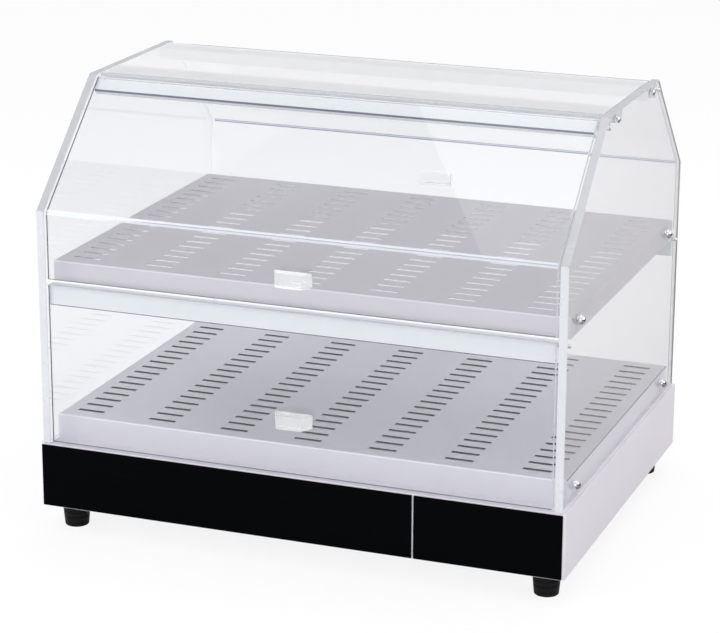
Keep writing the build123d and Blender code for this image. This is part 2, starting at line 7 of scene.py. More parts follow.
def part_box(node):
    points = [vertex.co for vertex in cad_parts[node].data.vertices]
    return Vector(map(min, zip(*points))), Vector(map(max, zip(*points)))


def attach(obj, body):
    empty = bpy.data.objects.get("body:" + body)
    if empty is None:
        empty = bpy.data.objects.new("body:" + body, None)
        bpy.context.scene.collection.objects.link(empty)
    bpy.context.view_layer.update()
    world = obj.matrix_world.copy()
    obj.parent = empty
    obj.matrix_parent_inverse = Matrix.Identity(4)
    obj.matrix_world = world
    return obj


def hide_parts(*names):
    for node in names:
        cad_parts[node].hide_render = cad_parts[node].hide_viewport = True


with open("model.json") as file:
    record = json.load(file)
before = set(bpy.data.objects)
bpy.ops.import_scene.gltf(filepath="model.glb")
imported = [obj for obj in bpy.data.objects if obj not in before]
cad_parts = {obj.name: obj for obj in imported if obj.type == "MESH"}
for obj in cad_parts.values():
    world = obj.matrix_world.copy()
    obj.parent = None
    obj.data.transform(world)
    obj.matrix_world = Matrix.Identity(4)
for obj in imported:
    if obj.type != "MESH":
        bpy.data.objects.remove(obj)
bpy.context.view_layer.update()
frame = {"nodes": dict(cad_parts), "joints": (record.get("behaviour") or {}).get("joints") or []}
print("frame loaded,", len(frame["nodes"]), "nodes")

millimetre = 0.001
airGap = 0.08 * millimetre      # between clear sheets and what they touch
hair = 0.02 * millimetre        # closer than this counts as the same place
overshoot = 1                   # millimetres by which a cutter reaches past what it cuts
straight = 0.9                  # least part of a normal along the axis that its face looks along
askew = 0.1                     # most part along X for a face that doesn't look sideways
nodes = frame["nodes"]
pivots = {joint["name"]: Vector(joint["pos_m"]) for joint in frame["joints"]}


def clearSelection():
    if bpy.context.mode != "OBJECT":
        bpy.ops.object.mode_set(mode="OBJECT")
    bpy.ops.object.select_all(action="DESELECT")


def activate(piece):
    clearSelection()
    piece.select_set(True)
    bpy.context.view_layer.objects.active = piece


def settle(piece, place=None):
    # Moves a piece to its place, if one is given, and applies its move, turn and size
    if place is not None:
        piece.matrix_world = place
    activate(piece)
    bpy.ops.object.transform_apply(location=True, rotation=True, scale=True)
    return piece


def named(name):
    # Names what the last operator made, and settles it
    piece = bpy.context.object
    piece.name = name
    piece.data.name = name
    return settle(piece)


def addBox(name, low, high):
    clearSelection()
    low, high = Vector(low), Vector(high)
    bpy.ops.mesh.primitive_cube_add(size=1, location=(low + high) / 2, scale=high - low)
    return named(name)


def addSmallBox(name, low, high):
    # A box given in millimetres
    return addBox(name, *[[c * millimetre for c in corner] for corner in (low, high)])


def addRod(name, radius, start, end, sides):
    # A cylinder from one point to another
    clearSelection()
    start, end = Vector(start), Vector(end)
    way = end - start
    turn = way.to_track_quat("Z", "Y").to_euler()
    bpy.ops.mesh.primitive_cylinder_add(
        vertices=sides, radius=radius, depth=way.length, location=(start + end) / 2, rotation=turn)
    return named(name)


def leaveEdit():
    bpy.ops.object.mode_set(mode="OBJECT")


def startPick(piece, edges):
    # Makes the piece active with nothing in it selected, to pick edges or faces
    activate(piece)
    bpy.context.tool_settings.mesh_select_mode = (False, edges, not edges)
    mesh = piece.data
    for group in (mesh.vertices, mesh.edges, mesh.polygons):
        for part in group:
            part.select = False
    return mesh


def editFaces(piece, test, operator, **values):
    # Runs an operator on the faces whose normal passes the test
    for polygon in startPick(piece, False).polygons:
        polygon.select = test(polygon.normal)
    bpy.ops.object.mode_set(mode="EDIT")
    operator(**values)
    leaveEdit()


def anyFace(normal):
    return True


def editEdges(piece, test, operator, **values):
    # Runs an operator on the edges whose two ends pass the test
    mesh = startPick(piece, True)
    for edge in mesh.edges:
        first, last = (mesh.vertices[i] for i in edge.vertices)
        if test(first.co, last.co):
            for part in (edge, first, last):
                part.select = True
    bpy.ops.object.mode_set(mode="EDIT")
    operator(**values)
    leaveEdit()


def applyModifier(piece, kind, **values):
    activate(piece)
    modifier = piece.modifiers.new(kind.lower(), kind)
    for key, value in values.items():
        setattr(modifier, key, value)
    bpy.ops.object.modifier_apply(modifier=modifier.name)


def soften(piece, width, segments, over=30):
    applyModifier(piece, "BEVEL", width=width, segments=segments, limit_method="ANGLE",
                  angle_limit=radians(over), harden_normals=False)


def joinInto(piece, others):
    activate(piece)
    for other in others:
        other.select_set(True)
    bpy.ops.object.join()
    return piece


def cutAway(piece, cutter, operation="DIFFERENCE"):
    applyModifier(piece, "BOOLEAN", operation=operation, object=cutter, solver="EXACT")
    bpy.data.objects.remove(cutter)
    return piece


def arcPoints(centre, radius, start, end, steps):
    # Points along an arc, in (radius, height), angles in degrees
    sweep = [radians(start + (end - start) * i / steps) for i in range(steps + 1)]
    return [(centre[0] + radius * cos(a), centre[1] + radius * sin(a)) for a in sweep]


def domeOf(radius, rise, top):
    # The centre and radius of a dome's sphere, and the angle at which its rim lies
    sphere = (radius ** 2 + rise ** 2) / (2 * rise)
    return (0, top - sphere), sphere, degrees(atan2(sphere - rise, radius))


def turnProfile(name, points, steps):
    # A profile of (radius, height) in millimetres, drawn by extruding one point, spun about Z
    clearSelection()
    points = [(max(radius, 0) * millimetre, height * millimetre) for radius, height in points]
    bpy.ops.mesh.primitive_plane_add(size=millimetre, location=(0, 0, 0))
    bpy.context.tool_settings.mesh_select_mode = (True, False, False)
    bpy.ops.object.mode_set(mode="EDIT")
    bpy.ops.mesh.select_all(action="SELECT")
    bpy.ops.mesh.merge(type="CENTER")
    bpy.ops.transform.translate(value=(points[0][0], 0, points[0][1]))
    for (oldRadius, oldHeight), (radius, height) in zip(points, points[1:]):
        step = (radius - oldRadius, 0, height - oldHeight)
        bpy.ops.mesh.extrude_region_move(TRANSFORM_OT_translate={"value": step})
    bpy.ops.mesh.select_all(action="SELECT")
    bpy.ops.mesh.spin(steps=steps, angle=2 * pi, center=(0, 0, 0), axis=(0, 0, 1))
    bpy.ops.mesh.select_all(action="SELECT")
    bpy.ops.mesh.remove_doubles(threshold=hair / 2)
    bpy.ops.mesh.normals_make_consistent(inside=False)
    leaveEdit()
    return named(name)


def scratchCopy(node, name):
    # A CAD node's mesh in an object of its own
    clearSelection()
    piece = bpy.data.objects.new(name, nodes[node].data.copy())
    bpy.context.scene.collection.objects.link(piece)
    return piece


def cleanCopy(node, name):
    # A CAD piece's own shape as one mesh, without its flat faces' inner edges
    piece = scratchCopy(node, name)
    editFaces(piece, anyFace, bpy.ops.mesh.remove_doubles, threshold=hair / 2)
    editFaces(piece, anyFace, bpy.ops.mesh.dissolve_limited, angle_limit=radians(1))
    piece.data.name = name
    return piece


def placeAt(spot, across, up, outward):
    # A place with its origin at the spot and these three axes
    place = Matrix((across, up, outward)).transposed().to_4x4()
    place.translation = Vector(spot)
    return place


def facing(spot, outward):
    # A place whose Z points outward and whose X is level
    outward = Vector(outward).normalized()
    across = Vector((0, 0, 1)).cross(outward).normalized()
    return placeAt(spot, across, outward.cross(across), outward)


def copyTo(piece, name, place):
    # A copy with its own mesh, moved by a matrix that is then applied
    activate(piece)
    bpy.ops.object.duplicate(linked=False)
    copy = bpy.context.object
    copy.matrix_world = place
    return named(name)


def wear(piece, finish, test):
    # Adds a finish for the faces that pass the test
    piece.data.materials.append(finishes[finish])
    for polygon in piece.data.polygons:
        if test(polygon):
            polygon.material_index = len(piece.data.materials) - 1


def finishPiece(piece, body, slot, finish, *replaced):
    # Rounds where faces meet gently and keeps the flats flat, then gives the piece its finish and
    # body, and hides the CAD nodes that it replaces. The slot is not used. Without a finish it
    # keeps those it wears.
    activate(piece)
    bpy.ops.object.shade_smooth_by_angle(angle=radians(35))
    applyModifier(piece, "WEIGHTED_NORMAL", mode="FACE_AREA", weight=50, keep_sharp=True)
    if finish:
        piece.data.materials.clear()
        piece.data.materials.append(finishes[finish])
    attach(piece, body)
    if replaced:
        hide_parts(*replaced)


# Camera at the angle that the photograph was taken from, found by fitting corners of the case
photoView = {
    "size": (720, 633),
    "target": (0, 0, 0.257),
    "azimuth": 20.52,
    "elevation": 16.79,
    "roll": 0.28,
    "distance": 3.244,
    "focalPixels": 2630,
    "principalPoint": (369, 301),
    "sensor": 36,
    "clipEnd": 60,
}


def addCamera(view):
    a, e, roll = (radians(view[key]) for key in ("azimuth", "elevation", "roll"))
    back = Vector((sin(a) * cos(e), -cos(a) * cos(e), sin(e)))
    right = Vector((cos(a), sin(a), 0))
    up = back.cross(right)
    turned = (right * cos(roll) + up * sin(roll), up * cos(roll) - right * sin(roll), back)
    width, height = view["size"]
    data = bpy.data.cameras.new("photoCamera")
    data.sensor_width = view["sensor"]
    data.lens = view["focalPixels"] * view["sensor"] / width
    data.shift_x = (width / 2 - view["principalPoint"][0]) / width
    data.shift_y = (view["principalPoint"][1] - height / 2) / width
    data.clip_end = view["clipEnd"]
    camera = bpy.data.objects.new("photoCamera", data)
    camera.matrix_world = placeAt(Vector(view["target"]) + back * view["distance"], *turned)
    bpy.context.scene.collection.objects.link(camera)
    bpy.context.scene.camera = camera


addCamera(photoView)
print("camera placed")

# White studio: a pale floor, an even sky and four soft lamps. Cards that only mirrors see are
# painted reflections:
# a dark one makes chrome read as chrome, and a grey one, darker near the case, paints the floor's
# shade into the clear side's reflection.
studio = {
    "floorSize": 60,
    "floorColour": (0.92, 0.92, 0.925, 1),
    "floorGlow": 0.85,
    "mirrorLoss": 0.7,
    "skySeen": 1.0,
    "skyLight": 0.80,
    "cards": {
        "darkCard": {"place": (1.0, 0.4, 0.15), "size": (2.2, 0.3), "turn": (pi / 2, 0, pi / 2),
                     "near": (0.01, 0.01, 0.012, 1), "far": (0.01, 0.01, 0.012, 1)},
        "greyCard": {"place": (1.835, 1.6, 0.004), "size": (3.0, 4.4), "turn": (0, 0, 0),
                     "near": (0.30, 0.28, 0.29, 1), "far": (0.86, 0.84, 0.86, 1)},
    },
    "cardFade": (0.45, 1.1),
    "lamps": {
        "overhead": {"place": (0.2, 0.1, 2.6), "size": (2.6, 2.0), "power": 22},
        "frontLeft": {"place": (-2.2, -2.4, 1.9), "size": (1.6, 2.0), "power": 30},
        "right": {"place": (2.7, 0.5, 1.3), "size": (1.4, 1.6), "power": 18},
        "front": {"place": (0.5, -3.2, 1.0), "size": (2.6, 0.9), "power": 15},
    },
    "lampsAim": (0, 0, 0.25),
}


def fill(tree, node, inputs):
    # Gives each input a value, or joins it to another node's socket
    for key, value in inputs.items():
        if isinstance(value, bpy.types.NodeSocket):
            tree.links.new(value, node.inputs[key])
        else:
            node.inputs[key].default_value = value


def addNode(tree, kind, inputs=None, **settings):
    node = tree.nodes.new("ShaderNode" + kind)
    for key, value in settings.items():
        setattr(node, key, value)
    fill(tree, node, inputs or {})
    return node


def reckon(tree, operation, *values):
    return addNode(tree, "Math", dict(enumerate(values)), operation=operation).outputs[0]


def blended(tree, share, first, last):
    # From the first colour to the last, by the share
    return addNode(tree, "Mix", {"A": first, "B": last, "Factor": share},
                   data_type="RGBA").outputs["Result"]


def newMaterial(name):
    material = bpy.data.materials.new(name)
    material.use_nodes = True
    return material, material.node_tree


def putOut(tree, **sockets):
    fill(tree, tree.nodes["Material Output"], sockets)


def seenFirst(tree):
    # 1 for what the eye sees, straight or by mirror and glass, and 0 for light that a matt
    # surface gathers
    return reckon(tree, "LESS_THAN", addNode(tree, "LightPath").outputs["Diffuse Depth"], 0.5)


def addSky(plan):
    world = bpy.data.worlds.new("studioSky")
    world.use_nodes = True
    tree = world.node_tree
    level = addNode(tree, "MapRange", {
        "To Min": plan["skyLight"], "To Max": plan["skySeen"], "Value": seenFirst(tree)})
    fill(tree, tree.nodes["Background"], {"Color": (1, 1, 1, 1), "Strength": level.outputs[0]})
    bpy.context.scene.world = world


def addFloor(plan):
    # Matt for the light that it sends on, and glowing for the eye, less so in mirrors
    clearSelection()
    bpy.ops.mesh.primitive_plane_add(size=plan["floorSize"], location=(0, 0, 0))
    floor = named("studioFloor")
    paint, tree = newMaterial("floorPaint")
    share = reckon(tree, "MULTIPLY", seenFirst(tree), plan["floorGlow"])
    mirrored = addNode(tree, "LightPath").outputs["Is Glossy Ray"]
    left = reckon(tree, "MULTIPLY_ADD", mirrored, -plan["mirrorLoss"], 1.0)
    putOut(tree, Surface=addNode(tree, "MixShader", {
        "Fac": reckon(tree, "MULTIPLY", left, share),
        1: addNode(tree, "BsdfDiffuse", {"Color": plan["floorColour"]}).outputs[0],
        2: addNode(tree, "Emission").outputs[0],
    }).outputs[0])
    floor.data.materials.append(paint)


def addCard(name, card, fade):
    clearSelection()
    bpy.ops.mesh.primitive_plane_add(size=1, location=card["place"], rotation=card["turn"])
    bpy.context.object.scale = (*card["size"], 1)
    sheet = named(name)
    cloth, tree = newMaterial(name)
    spot = addNode(tree, "SeparateXYZ", {0: addNode(tree, "TexCoord").outputs["Object"]})
    share = addNode(tree, "MapRange", {
        "From Min": fade[0], "From Max": fade[1], "Value": spot.outputs["X"]}).outputs[0]
    glow = addNode(tree, "Emission", {"Color": blended(tree, share, card["near"], card["far"])})
    putOut(tree, Surface=glow.outputs[0])
    sheet.data.materials.append(cloth)
    for ray in ("camera", "diffuse", "transmission", "volume_scatter", "shadow"):
        setattr(sheet, f"visible_{ray}", False)


def addLamp(name, lamp, target):
    data = bpy.data.lights.new(name, "AREA")
    data.shape = "RECTANGLE"
    data.size, data.size_y = lamp["size"]
    data.energy = lamp["power"]
    light = bpy.data.objects.new(name, data)
    light.location = lamp["place"]
    aim = Vector(target) - Vector(lamp["place"])
    light.rotation_euler = aim.to_track_quat("-Z", "Y").to_euler()
    light.visible_camera = False
    light.visible_transmission = False
    bpy.context.scene.collection.objects.link(light)


addSky(studio)
addFloor(studio)
for name, card in studio["cards"].items():
    addCard(name, card, studio["cardFade"])
for name, lamp in studio["lamps"].items():
    addLamp(name, lamp, studio["lampsAim"])
bpy.context.scene.view_settings.view_transform = "Standard"
print("studio lit")

# Shader groups. Each puts out only values that change over the surface.
socketKinds = {1: "NodeSocketFloat", 3: "NodeSocketVector", 4: "NodeSocketColor"}
midGrey = (0.5, 0.5, 0.5, 1)


def newGroup(name, inputs, outputs):
    # The kind of an input follows from how many numbers its value has
    group = bpy.data.node_groups.new(name, "ShaderNodeTree")
    for label, value in inputs.items():
        kind = socketKinds[len(value) if isinstance(value, tuple) else 1]
        socket = group.interface.new_socket(label, in_out="INPUT", socket_type=kind)
        socket.default_value = value
    for label in outputs:
        kind = socketKinds[4 if label == "Colour" else 1]
        group.interface.new_socket(label, in_out="OUTPUT", socket_type=kind)
    return group, group.nodes.new("NodeGroupInput").outputs, group.nodes.new("NodeGroupOutput")


def noise(tree, vector, scale, detail, roughness):
    return addNode(tree, "TexNoise", {
        "Detail": detail, "Roughness": roughness, "Vector": vector, "Scale": scale}).outputs["Fac"]


def smoothStep(tree, value, start, end):
    return addNode(tree, "MapRange", {"From Min": start, "From Max": end, "Value": value},
                   interpolation_type="SMOOTHSTEP").outputs[0]


def swing(tree, value, amount):
    # How far a noise lies from its middle, times the amount
    return reckon(tree, "MULTIPLY", reckon(tree, "SUBTRACT", value, 0.5), amount)


def tinted(tree, colour, factor):
    # colour times (1 + factor), for a slow drift of tone
    scale = reckon(tree, "ADD", factor, 1.0)
    return addNode(tree, "VectorMath", {0: colour, "Scale": scale}, operation="SCALE").outputs[0]


def makeGrainGroup():
    # Fine parallel lines under slow clouds: rolled, brushed or sawn surfaces
    group, given, made = newGroup("surfaceGrain", {
        "Colour": midGrey, "Stretch": (1, 1, 1), "Line Scale": 600.0, "Line Tone": 0.04,
        "Cloud Scale": 9.0, "Cloud Tone": 0.05, "Roughness": 0.35, "Roughness Spread": 0.08,
    }, ("Colour", "Roughness", "Height"))
    place = addNode(group, "TexCoord").outputs["Object"]
    drawn = addNode(group, "VectorMath", {0: place, 1: given["Stretch"]}, operation="MULTIPLY")
    lines = noise(group, drawn.outputs[0], given["Line Scale"], 3.0, 0.6)
    clouds = noise(group, place, given["Cloud Scale"], 4.0, 0.55)
    tone = reckon(group, "ADD", swing(group, lines, given["Line Tone"]),
                  swing(group, clouds, given["Cloud Tone"]))
    both = reckon(group, "ADD", reckon(group, "MULTIPLY", lines, 0.4),
                  reckon(group, "MULTIPLY", clouds, 0.6))
    spread = reckon(group, "MULTIPLY", swing(group, both, given["Roughness Spread"]), 2.0)
    fill(group, made, {
        "Colour": tinted(group, given["Colour"], reckon(group, "MULTIPLY", tone, 2.0)),
        "Roughness": reckon(group, "ADD", given["Roughness"], spread), "Height": lines})
    return group


def makeTrayShadingGroup():
    # A folded and punched tray's painted light and shade: the slots' walls are painted lighter or
    # darker for the light or shade that shows through them, the front folds get a painted
    # highlight, the folds facing right a painted shade, and the lips are painted lighter or darker
    # by the way they face the light
    group, given, made = newGroup("trayPaintedShading", {
        "Colour": midGrey, "Underside": 0.3, "Reach": (0.3, 0.2, 1), "Slot Painted Shading": 0.5,
        "Front Fold Painted Highlight": 0.3, "Side Fold Painted Shade": -0.3, "Lip Painted Shading": 0.0,
    }, ("Colour",))
    coordinates = addNode(group, "TexCoord").outputs
    spot, normal, reach = (addNode(group, "SeparateXYZ", {0: socket}).outputs for socket in (
        coordinates["Object"], coordinates["Normal"], given["Reach"]))
    depth, steep = (reckon(group, "ABSOLUTE", normal[axis]) for axis in "YZ")
    upright = inSlot = reckon(group, "LESS_THAN", steep, 0.3)
    for axis in "XY":
        distance = reckon(group, "ABSOLUTE", spot[axis])
        within = reckon(group, "LESS_THAN", distance, reach[axis])
        inSlot = reckon(group, "MULTIPLY", inSlot, within)
    above = reckon(group, "GREATER_THAN", spot["Z"], given["Underside"])
    inSlot = reckon(group, "MULTIPLY", inSlot, above)
    halfway = reckon(group, "MULTIPLY", steep, reckon(group, "SUBTRACT", 1.0, steep))
    fold = reckon(group, "MULTIPLY", reckon(group, "MULTIPLY", halfway, 4.0), above)
    rightward = reckon(group, "MAXIMUM", normal["X"], 0.0)
    paintedShading = reckon(group, "MULTIPLY", inSlot, given["Slot Painted Shading"])
    for share, part, name in ((upright, depth, "Lip Painted Shading"), (depth, fold, "Front Fold Painted Highlight"),
                              (rightward, fold, "Side Fold Painted Shade")):
        both = reckon(group, "MULTIPLY", share, part)
        paintedShading = reckon(group, "ADD", paintedShading, reckon(group, "MULTIPLY", both, given[name]))
    fill(group, made, {"Colour": tinted(group, given["Colour"], paintedShading)})
    return group


def makeSkinGroup():
    # Moulded or painted skins: a soft pebble with small marks rubbed into it
    group, given, made = newGroup("mouldedSkin", {
        "Colour": midGrey, "Pebble Scale": 900.0, "Tone": 0.06, "Roughness": 0.5,
        "Rubbed Roughness": 0.35, "Rubbed Scale": 14.0,
    }, ("Colour", "Roughness", "Height"))
    place = addNode(group, "TexCoord").outputs["Object"]
    rubbed = noise(group, place, given["Rubbed Scale"], 5.0, 0.65)
    drift = reckon(group, "MULTIPLY", swing(group, rubbed, given["Tone"]), 2.0)
    blend = addNode(group, "Mix", {
        "Factor": smoothStep(group, rubbed, 0.5, 0.72),
        "A": given["Roughness"], "B": given["Rubbed Roughness"]})
    fill(group, made, {
        "Colour": tinted(group, given["Colour"], drift), "Roughness": blend.outputs["Result"],
        "Height": noise(group, place, given["Pebble Scale"], 2.0, 0.5)})
    return group


def makePolishGroup():
    # Clear sheet: hairline wipes and faint hand marks that only change how it shines
    group, given, made = newGroup("polishedSheet", {
        "Roughness": 0.0, "Wipe Roughness": 0.05, "Wipe Scale": 7.0, "Wave Scale": 5.0,
    }, ("Roughness", "Height"))
    place = addNode(group, "TexCoord").outputs["Object"]
    wipes = smoothStep(group, noise(group, place, given["Wipe Scale"], 6.0, 0.7), 0.56, 0.78)
    extra = reckon(group, "MULTIPLY", wipes, given["Wipe Roughness"])
    fill(group, made, {
        "Roughness": reckon(group, "ADD", given["Roughness"], extra),
        "Height": noise(group, place, given["Wave Scale"], 1.0, 0.4)})
    return group


grainGroup = makeGrainGroup()
trayShadingGroup = makeTrayShadingGroup()
skinGroup = makeSkinGroup()
polishGroup = makePolishGroup()
print("shader groups built")


def groupMaterial(name, group, values, sockets, strength, depth):
    # A material that takes its roughness, bump and any colour from a group
    material, tree = newMaterial(name)
    made = addNode(tree, "Group", values, node_tree=group).outputs
    bump = addNode(tree, "Bump", {
        "Strength": strength, "Distance": depth * millimetre, "Height": made["Height"]})
    shader = tree.nodes["Principled BSDF"]
    fill(tree, shader, {
        "Roughness": made["Roughness"], "Normal": bump.outputs["Normal"], **sockets})
    if "Colour" in made:
        fill(tree, shader, {"Base Color": made["Colour"]})
    return material, tree, shader


def skinMaterial(name, row):
    *values, specular, strength, depth = row
    return groupMaterial(name, skinGroup, dict(zip(skinColumns, values)),
                         {"Specular IOR Level": specular}, strength, depth)


def paintTrayShading(material, tray, paintedShading):
    # Puts the tray's painted light and shade at its folds, slots and lips between its grain and its
    # shader
    tree = material.node_tree
    shader = tree.nodes["Principled BSDF"]
    low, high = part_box(tray)
    sheet = 2 * millimetre
    effect = addNode(tree, "Group", {
        "Underside": high.z - sheet, "Reach": (high.x - 2 * sheet, high.y - 2 * sheet, 1),
        "Colour": shader.inputs["Base Color"].links[0].from_socket, **paintedShading,
    }, node_tree=trayShadingGroup)
    fill(tree, shader, {"Base Color": effect.outputs["Colour"]})


def letLampsThrough(tree, shader, colour):
    # Lamp light passes the surface, so that what lies behind clear plastic isn't in its shadow
    film = addNode(tree, "BsdfTransparent", {"Color": colour})
    putOut(tree, Surface=addNode(tree, "MixShader", {
        "Fac": addNode(tree, "LightPath").outputs["Is Shadow Ray"],
        1: shader.outputs[0], 2: film.outputs[0]}).outputs[0])


def edgeMaterial(name, skin, within, glow, upPaintedShade):
    # A sawn edge: pale from outside, with a painted shade where it faces up. Seen from within the
    # sheet it wears a painted colour that stands in for the light and shade seen through the sheet,
    # and can have a painted glow there.
    material, tree, shader = skinMaterial(name, skin)
    side = addNode(tree, "NewGeometry").outputs
    height = addNode(tree, "SeparateXYZ", {0: side["Normal"]}).outputs["Z"]
    lean = reckon(tree, "MULTIPLY", reckon(tree, "MAXIMUM", height, 0.0), upPaintedShade)
    pale = tinted(tree, shader.inputs["Base Color"].links[0].from_socket, lean)
    fill(tree, shader, {"Base Color": blended(tree, side["Backfacing"], pale, within)})
    if glow:
        paintedGlowWithin = blended(tree, side["Backfacing"], (0, 0, 0, 1), glow)
        fill(tree, shader, {"Emission Color": paintedGlowWithin, "Emission Strength": 1.0})
    letLampsThrough(tree, shader, (0.9, 0.9, 0.92, 1))
    return material


def clearMaterial(name, values, sockets, bump, density, depthColour):
    # Clear plastic: bends and mirrors light, can be tinted in its depth, and lets lamps through
    material, tree, shader = groupMaterial(name, polishGroup, values, sockets, *bump)
    letLampsThrough(tree, shader, (0.96, 0.965, 0.97, 1))
    if density:
        volume = addNode(tree, "VolumeAbsorption", {"Color": depthColour, "Density": density})
        putOut(tree, Volume=volume.outputs[0])
    return material


# Finishes, named after what wears them, in rows. A bump is a strength and a depth in millimetres.
# Grain: the group's columns, then metallic and the bump.
grainColumns = ("Colour", "Stretch", "Line Scale", "Line Tone", "Cloud Scale", "Cloud Tone",
                "Roughness", "Roughness Spread")
grainRows = {
    "traySteel": ((0.5, 0.485, 0.52, 1), (0.03, 1, 1), 1500, 0.035, 7, 0.035, 0.4, 0.05, 0.4, 0.15,
                  0.04),
    # The deck's steel: a lighter copy of the shelf's, painted light that makes up for the shade the
    # shelf casts on it
    "deckSteelPaintedLight": ((0.8, 0.79, 0.85, 1), (0.03, 1, 1), 1500, 0.035, 7, 0.035, 0.4, 0.05, 0.4, 0.15,
                  0.04),
    "baseSteel": ((0.8, 0.775, 0.83, 1), (1, 0.04, 1), 1200, 0.03, 6, 0.03, 0.38, 0.06, 0.3, 0.12,
                  0.04),
    "railAluminium": ((0.74, 0.74, 0.755, 1), (0.02, 1, 1), 1400, 0.1, 12, 0.06, 0.3, 0.08, 1, 0.2,
                      0.05),
    "fastenerSteel": ((0.6, 0.6, 0.61, 1), (1, 1, 1), 900, 0.08, 160, 0.08, 0.34, 0.1, 1, 0.2,
                      0.05),
    "boltChrome": ((0.66, 0.665, 0.68, 1), (1, 1, 1), 700, 0.03, 120, 0.05, 0.1, 0.05, 1, 0.08,
                   0.03),
    "pinSteel": ((0.66, 0.66, 0.67, 1), (1, 1, 1), 1500, 0.08, 200, 0.05, 0.24, 0.08, 1, 0.15,
                 0.04),
    "reflectorSheet": ((0.72, 0.725, 0.735, 1), (1, 0.05, 1), 800, 0.08, 14, 0.1, 0.28, 0.12, 1,
                       0.3, 0.08),
    "rodSteel": ((0.36, 0.33, 0.31, 1), (1, 0.2, 0.2), 500, 0.14, 40, 0.22, 0.46, 0.12, 1, 0.25,
                 0.08),
    "bracketSteel": ((0.55, 0.55, 0.56, 1), (1, 1, 0.05), 900, 0.08, 30, 0.1, 0.36, 0.1, 1, 0.2,
                     0.06),
    "bulbCopper": ((0.7, 0.36, 0.22, 1), (1, 0.1, 1), 900, 0.1, 60, 0.18, 0.32, 0.12, 1, 0.2,
                   0.05),
}
# Skins: the group's columns, then the specular level and the bump.
skinColumns = ("Colour", "Pebble Scale", "Tone", "Roughness", "Rubbed Roughness", "Rubbed Scale")
skinRows = {
    "blackPanel": ((0.0008, 0.001, 0.0014, 1), 400, 0.2, 0.14, 0.22, 9, 0.02, 0.05, 0.05),
    "footRubber": ((0.004, 0.004, 0.0045, 1), 1600, 0.25, 0.48, 0.36, 60, 0.12, 0.35, 0.1),
    "knobBlack": ((0.022, 0.022, 0.023, 1), 2200, 0.2, 0.42, 0.3, 70, 0.5, 0.3, 0.08),
    "switchBlack": ((0.018, 0.018, 0.019, 1), 2600, 0.2, 0.46, 0.34, 90, 0.5, 0.3, 0.06),
    "rockerBlack": ((0.014, 0.014, 0.015, 1), 1800, 0.15, 0.18, 0.3, 110, 0.5, 0.08, 0.04),
    "bezelBlack": ((0.02, 0.02, 0.021, 1), 2400, 0.15, 0.36, 0.26, 100, 0.5, 0.2, 0.05),
    "glandGrey": ((0.13, 0.13, 0.138, 1), 2000, 0.12, 0.5, 0.38, 80, 0.5, 0.3, 0.08),
    "terminalCream": ((0.7, 0.63, 0.48, 1), 1500, 0.1, 0.55, 0.42, 60, 0.5, 0.3, 0.08),
    "stripMilk": ((0.835, 0.868, 0.882, 1), 700, 0.02, 0.34, 0.42, 12, 0.2, 0.05, 0.05),
    "printBlack": ((0.02, 0.02, 0.022, 1), 3000, 0.3, 0.55, 0.65, 200, 0.5, 0.15, 0.03),
    "printWhite": ((0.8, 0.8, 0.79, 1), 3000, 0.08, 0.5, 0.62, 200, 0.5, 0.15, 0.03),
}
# Edges: the skin, the colour and glow seen from within, and the tone added to faces that look up.
# For the panels' and doors' edges, the colour and glow seen from within are painted light and shade
# for what shows through the sheet, and the tone on faces that look up is a painted shade.
sawnSkin = ((0.60, 0.61, 0.65, 1), 1400, 0.10, 0.34, 0.18, 30, 0.8, 0.25, 0.05)
darkLineSkin = ((0.11, 0.12, 0.20, 1), 900, 0.3, 0.3, 0.2, 60, 0.5, 0.2, 0.05)
edgeRows = {
    # Panel edges: pale from within, with a painted glow there
    "panelEdge": (sawnSkin, (0.74, 0.73, 0.75, 1), (0.36, 0.36, 0.38, 1), -0.42),
    # The right panel's edges: greyer and browner from within, a painted shade
    "paintedShadeEdge": (sawnSkin, (0.50, 0.46, 0.45, 1), None, -0.42),
    # Door edges: nearly black from within, a painted shade
    "doorEdge": (sawnSkin, (0.07, 0.06, 0.065, 1), None, 0.0),
    "darkLineEdge": (darkLineSkin, (0.1, 0.1, 0.16, 1), None, 0.0),
}
# Clear plastics: the group's columns, the shader's, the bump, and the depth's density and colour.
polishColumns = ("Roughness", "Wipe Roughness", "Wipe Scale", "Wave Scale")
clearColumns = ("Base Color", "Transmission Weight", "IOR")
clearRows = {
    "panelAcrylic": ((0, 0.03, 6, 4), ((0.972, 0.973, 0.982, 1), 1, 1.49), (0.02, 0.2), 1.2,
                     (0.72, 0.76, 0.86, 1)),
    "doorAcrylic": ((0, 0.03, 8, 3), ((0.965, 0.968, 0.982, 1), 1, 1.49), (0.02, 0.2), 1.2,
                    (0.72, 0.78, 0.9, 1)),
    "handleAcrylic": ((0, 0.1, 60, 40), ((0.97, 0.975, 0.98, 1), 0.76, 1.49), (0.05, 0.1), 0,
                      None),
    "faintAcrylic": ((0, 0.1, 60, 40), ((0.99, 0.992, 0.998, 1), 0.93, 1.12), (0.05, 0.1), 0,
                     None),
    # The doors' bends: a pale blue, partly opaque band, a painted highlight, fainter at the rear
    "bendPaintedHighlight": ((0.3, 0.2, 60, 300), ((0.86, 0.9, 1, 1), 0.58, 1.49), (0.2, 0.1), 0, None),
    "faintBendPaintedHighlight": ((0.2, 0.2, 60, 300), ((0.93, 0.95, 1, 1), 0.86, 1.49), (0.2, 0.1), 0, None),
    "lensAmber": ((0.05, 0.1, 120, 300), ((0.95, 0.42, 0.06, 1), 1, 1.49), (0.1, 0.1), 90,
                  (0.95, 0.35, 0.05, 1)),
}


